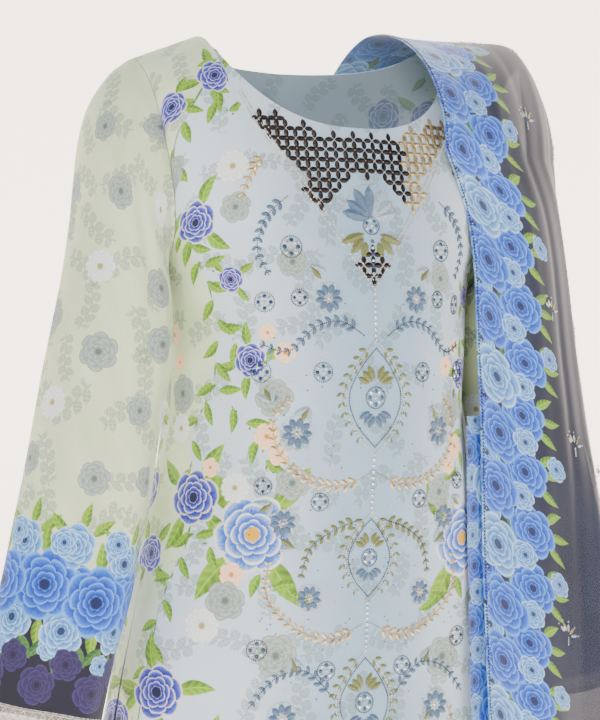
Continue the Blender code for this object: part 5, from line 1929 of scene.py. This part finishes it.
for k, a in enumerate((-90, -62, -118, -36, -144, -12, -168)):
    r = 0.026 - 0.0022 * (k > 2)
    leaf = "slate_leaf" if k % 2 == 0 else "pale_leaf"
    spot(leaf, r * 0.62 * math.cos(math.radians(a)), 0.166 + r * 0.62 * math.sin(math.radians(a)), a, r, 0.0085, False)
    rows_of["white"].append(
        [(r * 1.16 * math.cos(math.radians(a + d)), 0.166 + r * 1.16 * math.sin(math.radians(a + d))) for d in (-11, -5, 0, 5, 11)]
    )
stone_flower(0.0, 0.172, 0.0075, 7, False)
for a, size in ((20, 0.022), (48, 0.018), (76, 0.014)):
    u, v = 0.016 * math.cos(math.radians(a)), 0.178 + 0.016 * math.sin(math.radians(a))
    spot("olive_leaf", u + 0.004, v, a, size, 0.0062)
for k in range(7):
    spot("glass_stone" if k % 2 else "slate_stone", 0.0, 0.186 + 0.0056 * k, 0, 0.0038 - 0.0002 * k, None, False)


def medallion(v, half_width, half_height):
    """A pointed oval of beads with a small flower inside and leaves at its foot."""
    side = curved([(0.0, v - half_height), (half_width * 0.55, v - half_height * 0.62), (half_width, v - half_height * 0.05),
                   (half_width * 0.72, v + half_height * 0.52), (0.0, v + half_height)])
    rows_of["cream"] += both_halves(side)
    rows_of["bronze"] += both_halves([(u * 0.86, v + (w - v) * 0.86) for u, w in side])
    leafy([(u * 1.05 + 0.0015, w) for u, w in side][2:-3], 0.0088, 0.0072, "olive_leaf", 0.40, 0.05)
    stone_flower(0.0, v, half_width * 0.30, 8, False)
    for k in range(3):
        spot("olive_leaf", half_width * (0.16 + 0.12 * k), v - half_height * (0.44 - 0.07 * k), -62 + 18 * k,
             half_width * 0.42, half_width * 0.16)
        spot("slate_leaf", half_width * (0.12 + 0.12 * k), v + half_height * (0.42 - 0.06 * k), 62 - 16 * k,
             half_width * 0.38, half_width * 0.15)


medallion(0.322, 0.030, 0.050)
medallion(0.462, 0.024, 0.040)
medallion(0.590, 0.028, 0.046)
medallion(0.715, 0.020, 0.034)
rows_of["slate"] += [[(0.0, 0.232), (0.0, 0.268)], [(0.0, 0.376), (0.0, 0.418)], [(0.0, 0.506), (0.0, 0.540)],
                     [(0.0, 0.640), (0.0, 0.678)]]

SCROLLS = (
    (curved([(0.004, 0.388), (0.030, 0.398), (0.062, 0.392), (0.088, 0.368), (0.092, 0.338), (0.078, 0.322)]), "gold_leaf"),
    (curved([(0.012, 0.268), (0.034, 0.256), (0.058, 0.262), (0.080, 0.282), (0.104, 0.276)]), "slate_leaf"),
    (curved([(0.004, 0.520), (0.034, 0.532), (0.068, 0.522), (0.094, 0.496), (0.094, 0.466)]), "gold_leaf"),
    (curved([(0.010, 0.428), (0.034, 0.436), (0.056, 0.452), (0.064, 0.478)]), "olive_leaf"),
    (curved([(0.030, 0.585), (0.056, 0.560), (0.086, 0.566), (0.108, 0.590)]), "slate_leaf"),
    (curved([(0.004, 0.655), (0.034, 0.668), (0.070, 0.660), (0.096, 0.632), (0.094, 0.606)]), "gold_leaf"),
    (curved([(0.078, 0.148), (0.098, 0.166), (0.106, 0.192), (0.096, 0.216)]), "slate_leaf"),
    (curved([(0.100, 0.112), (0.118, 0.128), (0.124, 0.150)]), "gold_leaf"),
)
for line, leaf in SCROLLS:
    rows_of["gold" if leaf == "gold_leaf" else "bronze"] += both_halves(line)
    leafy(line, 0.0076, 0.0078, leaf, 0.44)
for u, v, radius in ((0.044, 0.236, 0.0135), (0.072, 0.352, 0.0145), (0.082, 0.430, 0.0125), (0.056, 0.496, 0.0120),
                     (0.078, 0.600, 0.0145), (0.052, 0.690, 0.0125)):
    rosette(u, v, radius)
for u, v, radius in ((0.076, 0.192, 0.0090), (0.070, 0.236, 0.0070), (0.100, 0.240, 0.0080), (0.050, 0.300, 0.0080),
                     (0.104, 0.300, 0.0085), (0.050, 0.412, 0.0075), (0.100, 0.398, 0.0070), (0.038, 0.560, 0.0080),
                     (0.102, 0.540, 0.0085), (0.058, 0.640, 0.0080), (0.104, 0.664, 0.0085), (0.030, 0.748, 0.0080)):
    stone_flower(u, v, radius)
for u, v, turn, size in ((0.060, 0.208, 130, 0.015), (0.062, 0.330, 60, 0.014), (0.094, 0.326, -60, 0.013), (0.092, 0.412, 40, 0.013),
                         (0.070, 0.452, -30, 0.015), (0.070, 0.548, 110, 0.014), (0.064, 0.612, -40, 0.013), (0.084, 0.680, 20, 0.014)):
    for fan in (-34, 0, 34):
        a = turn + fan
        spot("pale_leaf" if fan else "olive_leaf", u + size * 0.5 * math.cos(math.radians(a)),
             v + size * 0.5 * math.sin(math.radians(a)), a, size, size * 0.30)
scatter_rng = np.random.default_rng(11)
for _ in range(150):
    u, v = scatter_rng.uniform(0.012, 0.118), scatter_rng.uniform(0.235, 0.74)
    spot("pearl_bead" if scatter_rng.random() < 0.5 else "slate_stone", u, v, 0, 0.0014)

LEAF_FINISH = {"bronze_leaf": bronze, "gold_leaf": gold, "slate_leaf": slate_thread, "pale_leaf": pale_thread,
               "olive_leaf": olive_thread}
for kind, material in LEAF_FINISH.items():
    sew_spots(kind, on_front, stitch[kind], "leaf", (1.12, 1.3, 0.34), material)
for kind, shape, material in (("glass_stone", "stone", glass), ("gold_stone", "stone", gold),
                              ("slate_stone", "stone", slate_bead), ("pearl_bead", "round", pearl)):
    sew_spots(kind, on_front, stitch[kind], shape, (1.0, 1.0, 0.6), material)
sew_lines("cream_rows", on_front, rows_of["cream"], "bugle", (0.0026, 0.0012, 0.0010), 0.0034, pearl)
sew_lines("bronze_rows", on_front, rows_of["bronze"], "round", (0.0014, 0.0014, 0.0012), 0.0019, bronze)
sew_lines("gold_rows", on_front, rows_of["gold"], "round", (0.0014, 0.0014, 0.0012), 0.0019, gold)
sew_lines("white_rows", on_front, rows_of["white"], "round", (0.0015, 0.0015, 0.0012), 0.0021, pearl)
sew_lines("slate_rows", on_front, rows_of["slate"], "stone", (0.0034, 0.0034, 0.0020), 0.0048, glass)
print("embroidery:", sum(len(p.data.polygons) for p in embroidery), "faces in", len(embroidery), "pieces")

# %% [markdown]
# ## Sprigs and edging on the dupatta

# %%
sprig = {"slate_leaf": [], "gold_leaf": [], "glass_stone": []}


def sew_sprig(u, v, size, turn):
    """A little tree of beads: leaves fanned over a short stem."""
    for fan in (-64, -32, 0, 32, 64):
        a = turn + fan
        reach = size * 0.46
        spot_u, spot_v = u + reach * math.cos(math.radians(a)), v + reach * math.sin(math.radians(a))
        sprig["slate_leaf" if fan % 64 == 0 else "gold_leaf"].append((spot_u, spot_v, a, size * 0.5, size * 0.2))
        tip_u, tip_v = u + size * 0.82 * math.cos(math.radians(a)), v + size * 0.82 * math.sin(math.radians(a))
        sprig["glass_stone"].append((tip_u, tip_v, 0, size * 0.13, size * 0.13))
    for k in range(4):
        a = math.radians(turn + 180)
        reach = size * (0.1 + 0.13 * k)
        sprig["glass_stone"].append((u + reach * math.cos(a), v + reach * math.sin(a), 0, size * 0.12, size * 0.12))


for i, v in enumerate(np.arange(-1.06, 1.12, 0.150)):
    for u in ((0.112, 0.182) if i % 2 == 0 else (0.092, 0.150)):
        sew_sprig(u, v + 0.02 * math.sin(u * 90), 0.016, -90 if v > 0 else 90)
sew_spots("scarf_slate", on_scarf, sprig["slate_leaf"], "leaf", (1.0, 1.0, 0.3), pale_thread)
sew_spots("scarf_gold", on_scarf, sprig["gold_leaf"], "leaf", (1.0, 1.0, 0.3), gold)
sew_spots("scarf_stones", on_scarf, sprig["glass_stone"], "stone", (1.0, 1.0, 0.6), glass)
edge_line = [(0.0022, v) for v in np.linspace(-1.12, 1.15, 500)]
sew_lines("scarf_edge", on_scarf, [edge_line], "round", (0.0022, 0.0016, 0.0012), 0.0030, bronze)
sew_lines("scarf_edge_pearls", on_scarf, [[(u + 0.0026, v) for u, v in edge_line]], "round", (0.0013, 0.0013, 0.001), 0.0048, pearl)

# %% [markdown]
# ## Crochet threads of the lace
# A trellis of crossing threads, two cords and a row of scallops, laid on the lace band and given
# their thickness by a Geometry Nodes tree.

# %%
def thread_tree():
    """Lines become round threads."""
    tree = bpy.data.node_groups.new("threads", "GeometryNodeTree")
    for label, kind in (("Geometry", "NodeSocketGeometry"), ("Radius", "NodeSocketFloat"), ("Material", "NodeSocketMaterial")):
        tree.interface.new_socket(label, in_out="INPUT", socket_type=kind)
    tree.interface.new_socket("Geometry", in_out="OUTPUT", socket_type="NodeSocketGeometry")
    nodes, link = tree.nodes, tree.links.new
    start, end = nodes.new("NodeGroupInput"), nodes.new("NodeGroupOutput")
    curve, circle = nodes.new("GeometryNodeMeshToCurve"), nodes.new("GeometryNodeCurvePrimitiveCircle")
    circle.inputs["Resolution"].default_value = 5
    tube, real, paint = (nodes.new("GeometryNode" + kind) for kind in ("CurveToMesh", "RealizeInstances", "SetMaterial"))
    tube.inputs["Fill Caps"].default_value = True
    link(start.outputs["Geometry"], curve.inputs["Mesh"])
    link(start.outputs["Radius"], circle.inputs["Radius"])
    link(curve.outputs["Curve"], tube.inputs["Curve"])
    link(circle.outputs["Curve"], tube.inputs["Profile Curve"])
    link(tube.outputs["Mesh"], real.inputs["Geometry"])
    link(real.outputs["Geometry"], paint.inputs["Geometry"])
    link(start.outputs["Material"], paint.inputs["Material"])
    link(paint.outputs["Geometry"], end.inputs["Geometry"])
    return tree


THREADS = thread_tree()
LACE_ROUND = float(lace_flat[0][0, -1])
LACE_DEEP = 0.0148


def lace_lines():
    """Lines of the lace as (share round, depth) pairs."""
    count = 44
    lines = [[(t, depth) for t in np.linspace(0.001, 0.999, 200)] for depth in (0.0008, 0.0086)]
    for k in range(count):
        for lean in (1, -1):
            middle = (k + 0.5) / count
            lines.append([(middle + lean * (d / 0.0078 - 0.5) / count, 0.0008 + d) for d in np.linspace(0, 0.0078, 4)])
        scallop = [((k + 0.5 - 0.5 * math.cos(a)) / count, 0.0086 + 0.0056 * math.sin(a)) for a in np.linspace(0, math.pi, 8)]
        lines.append(scallop)
        lines.append([(t, 0.0086 + (d - 0.0086) * 0.55) for t, d in scallop])
    return lines


def lace_threads(name, grid, normals):
    rows, columns = grid.shape[:2]
    points, edges = [], []
    for line in lace_lines():
        for k, (t, depth) in enumerate(line):
            j = (t % 1.0) * columns
            i = depth / LACE_DEEP * (rows - 1)
            i0, j0 = min(int(i), rows - 2), int(j) % columns
            j1, fi, fj = (j0 + 1) % columns, i - min(int(i), rows - 2), j - int(j)
            top = grid[i0, j0] * (1 - fj) + grid[i0, j1] * fj
            low = grid[i0 + 1, j0] * (1 - fj) + grid[i0 + 1, j1] * fj
            if k:
                edges.append((len(points) - 1, len(points)))
            points.append(tuple(top * (1 - fi) + low * fi + normals[i0, j0] * 0.0002))
    mesh = bpy.data.meshes.new(name)
    mesh.from_pydata(points, edges, [])
    return run_tree(name, mesh, THREADS, Radius=0.00045, Material=lace_cotton)


def lace_material(name, colour, alpha):
    material = thread(name, colour)
    material.node_tree.nodes["Principled BSDF"].inputs["Alpha"].default_value = alpha
    return material


lace_cotton = lace_material("lace_cotton", srgb(214, 208, 198), 1.0)
lace_net = lace_material("lace_net", srgb(150, 148, 148), 0.45)
lace_pieces = [lace_threads("lace_threads_l", lace_left_grid, lace_left_normals),
               lace_threads("lace_threads_r", lace_right_grid, lace_right_normals)]
for shape in SHAPES.values():
    bpy.data.objects.remove(shape, do_unlink=True)
print("lace threads:", sum(len(p.data.polygons) for p in lace_pieces), "faces")

# %% [markdown]
# ## Each sheet gets its cloth

# %%
cambric = plain_cloth("cambric", (0.03, 0.04, 0.10))
for pieces, material in (
    ((front, back), lawn),
    ((sleeve_left, sleeve_right), sage),
    ((lace_left, lace_right), lace_net),
    ((leg_left, leg_right, waistband), cambric),
    ((dupatta, dupatta_layer), organza),
):
    for piece in pieces:
        piece.data.materials.append(material)

# %% [markdown]
# ## Floor, backdrop and light
# A pale sweep stands behind and under the garment, lit evenly by large soft lights.

# %%
def make_sweep():
    """A floor that turns up into a wall, as one sheet."""
    profile = [(-4.0, 0.0), (1.2, 0.0)]
    profile += [(1.2 + math.sin(a), 1 - math.cos(a)) for a in np.linspace(0.15, math.pi / 2, 12)]
    profile += [(2.2, 5.0)]
    turn = np.array([[math.cos(YAW), math.sin(YAW)], [-math.sin(YAW), math.cos(YAW)]])
    points, faces = [], []
    for side in (-5.0, 5.0):
        for depth, height in profile:
            x, y = np.array([side, depth]) @ turn.T
            points.append((x, y, TROUSER_HEM_Z - 0.004 + height))
    count = len(profile)
    for i in range(count - 1):
        faces.append((i, i + 1, i + 1 + count, i + count))
    mesh = bpy.data.meshes.new("sweep")
    mesh.from_pydata(points, [], faces)
    mesh.shade_smooth()
    sweep = bpy.data.objects.new("sweep", mesh)
    bpy.context.scene.collection.objects.link(sweep)
    material = plain_cloth("backdrop", (0.86, 0.80, 0.75), 0.9)
    shader = material.node_tree.nodes["Principled BSDF"]
    shader.inputs["Emission Color"].default_value = (1.0, 0.88, 0.78, 1)
    shader.inputs["Emission Strength"].default_value = 3.0
    mesh.materials.append(material)
    return sweep


def soft_light(name, place, target, size, power, colour=(1, 1, 1)):
    data = bpy.data.lights.new(name, "AREA")
    data.shape = "DISK"
    data.size = size
    data.energy = power
    data.color = colour
    light = bpy.data.objects.new(name, data)
    light.location = place
    light.rotation_euler = (Vector(target) - Vector(place)).to_track_quat("-Z", "Y").to_euler()
    bpy.context.scene.collection.objects.link(light)
    return light


sweep = make_sweep()
soft_light("key", (-2.2, -2.4, 1.2), (0, 0, -0.35), 1.8, 105, (1.0, 0.98, 0.95))
soft_light("fill", (1.6, -2.6, 0.2), (0, 0, -0.4), 2.4, 26, (0.97, 0.98, 1.0))
soft_light("top", (0.0, 0.6, 2.4), (0, 0, -0.3), 2.0, 34)
world = bpy.data.worlds.new("world")
world.use_nodes = True
world.node_tree.nodes["Background"].inputs["Color"].default_value = (0.90, 0.90, 0.92, 1)
world.node_tree.nodes["Background"].inputs["Strength"].default_value = 0.35
bpy.context.scene.world = world

# %% [markdown]
# ## What each piece stands for
# Every piece rides on the garment's one body and replaces its CAD solid.

# %%
STANDS_FOR = (
    (front, ("kameez_front",), "printed_lawn"),
    (back, ("kameez_back",), "printed_lawn"),
    (sleeve_left, ("sleeve_left",), "sleeve_lawn"),
    (sleeve_right, ("sleeve_right",), "sleeve_lawn"),
    (lace_left, ("lace_left",), "lace"),
    (lace_right, ("lace_right",), "lace"),
    (leg_left, ("trouser_left",), "trouser_cambric"),
    (leg_right, ("trouser_right",), "trouser_cambric"),
    (waistband, ("trouser_waistband",), "trouser_cambric"),
    (dupatta, ("dupatta_front", "dupatta_shoulder", "dupatta_back"), "dupatta_organza"),
    (dupatta_layer, ("dupatta_fold",), "dupatta_organza"),
)
for piece, nodes, slot in STANDS_FOR:
    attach(piece, "root")
    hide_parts(*nodes)
for piece in embroidery:
    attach(piece, "root")
for piece in lace_pieces:
    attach(piece, "root")


def cloth_area(piece):
    """Half of a closed sheet's surface: the area of its cut."""
    return sum(polygon.area for polygon in piece.data.polygons) / 2


for piece, nodes, slot in STANDS_FOR:
    print(piece.name, round(cloth_area(piece), 4), "m2")
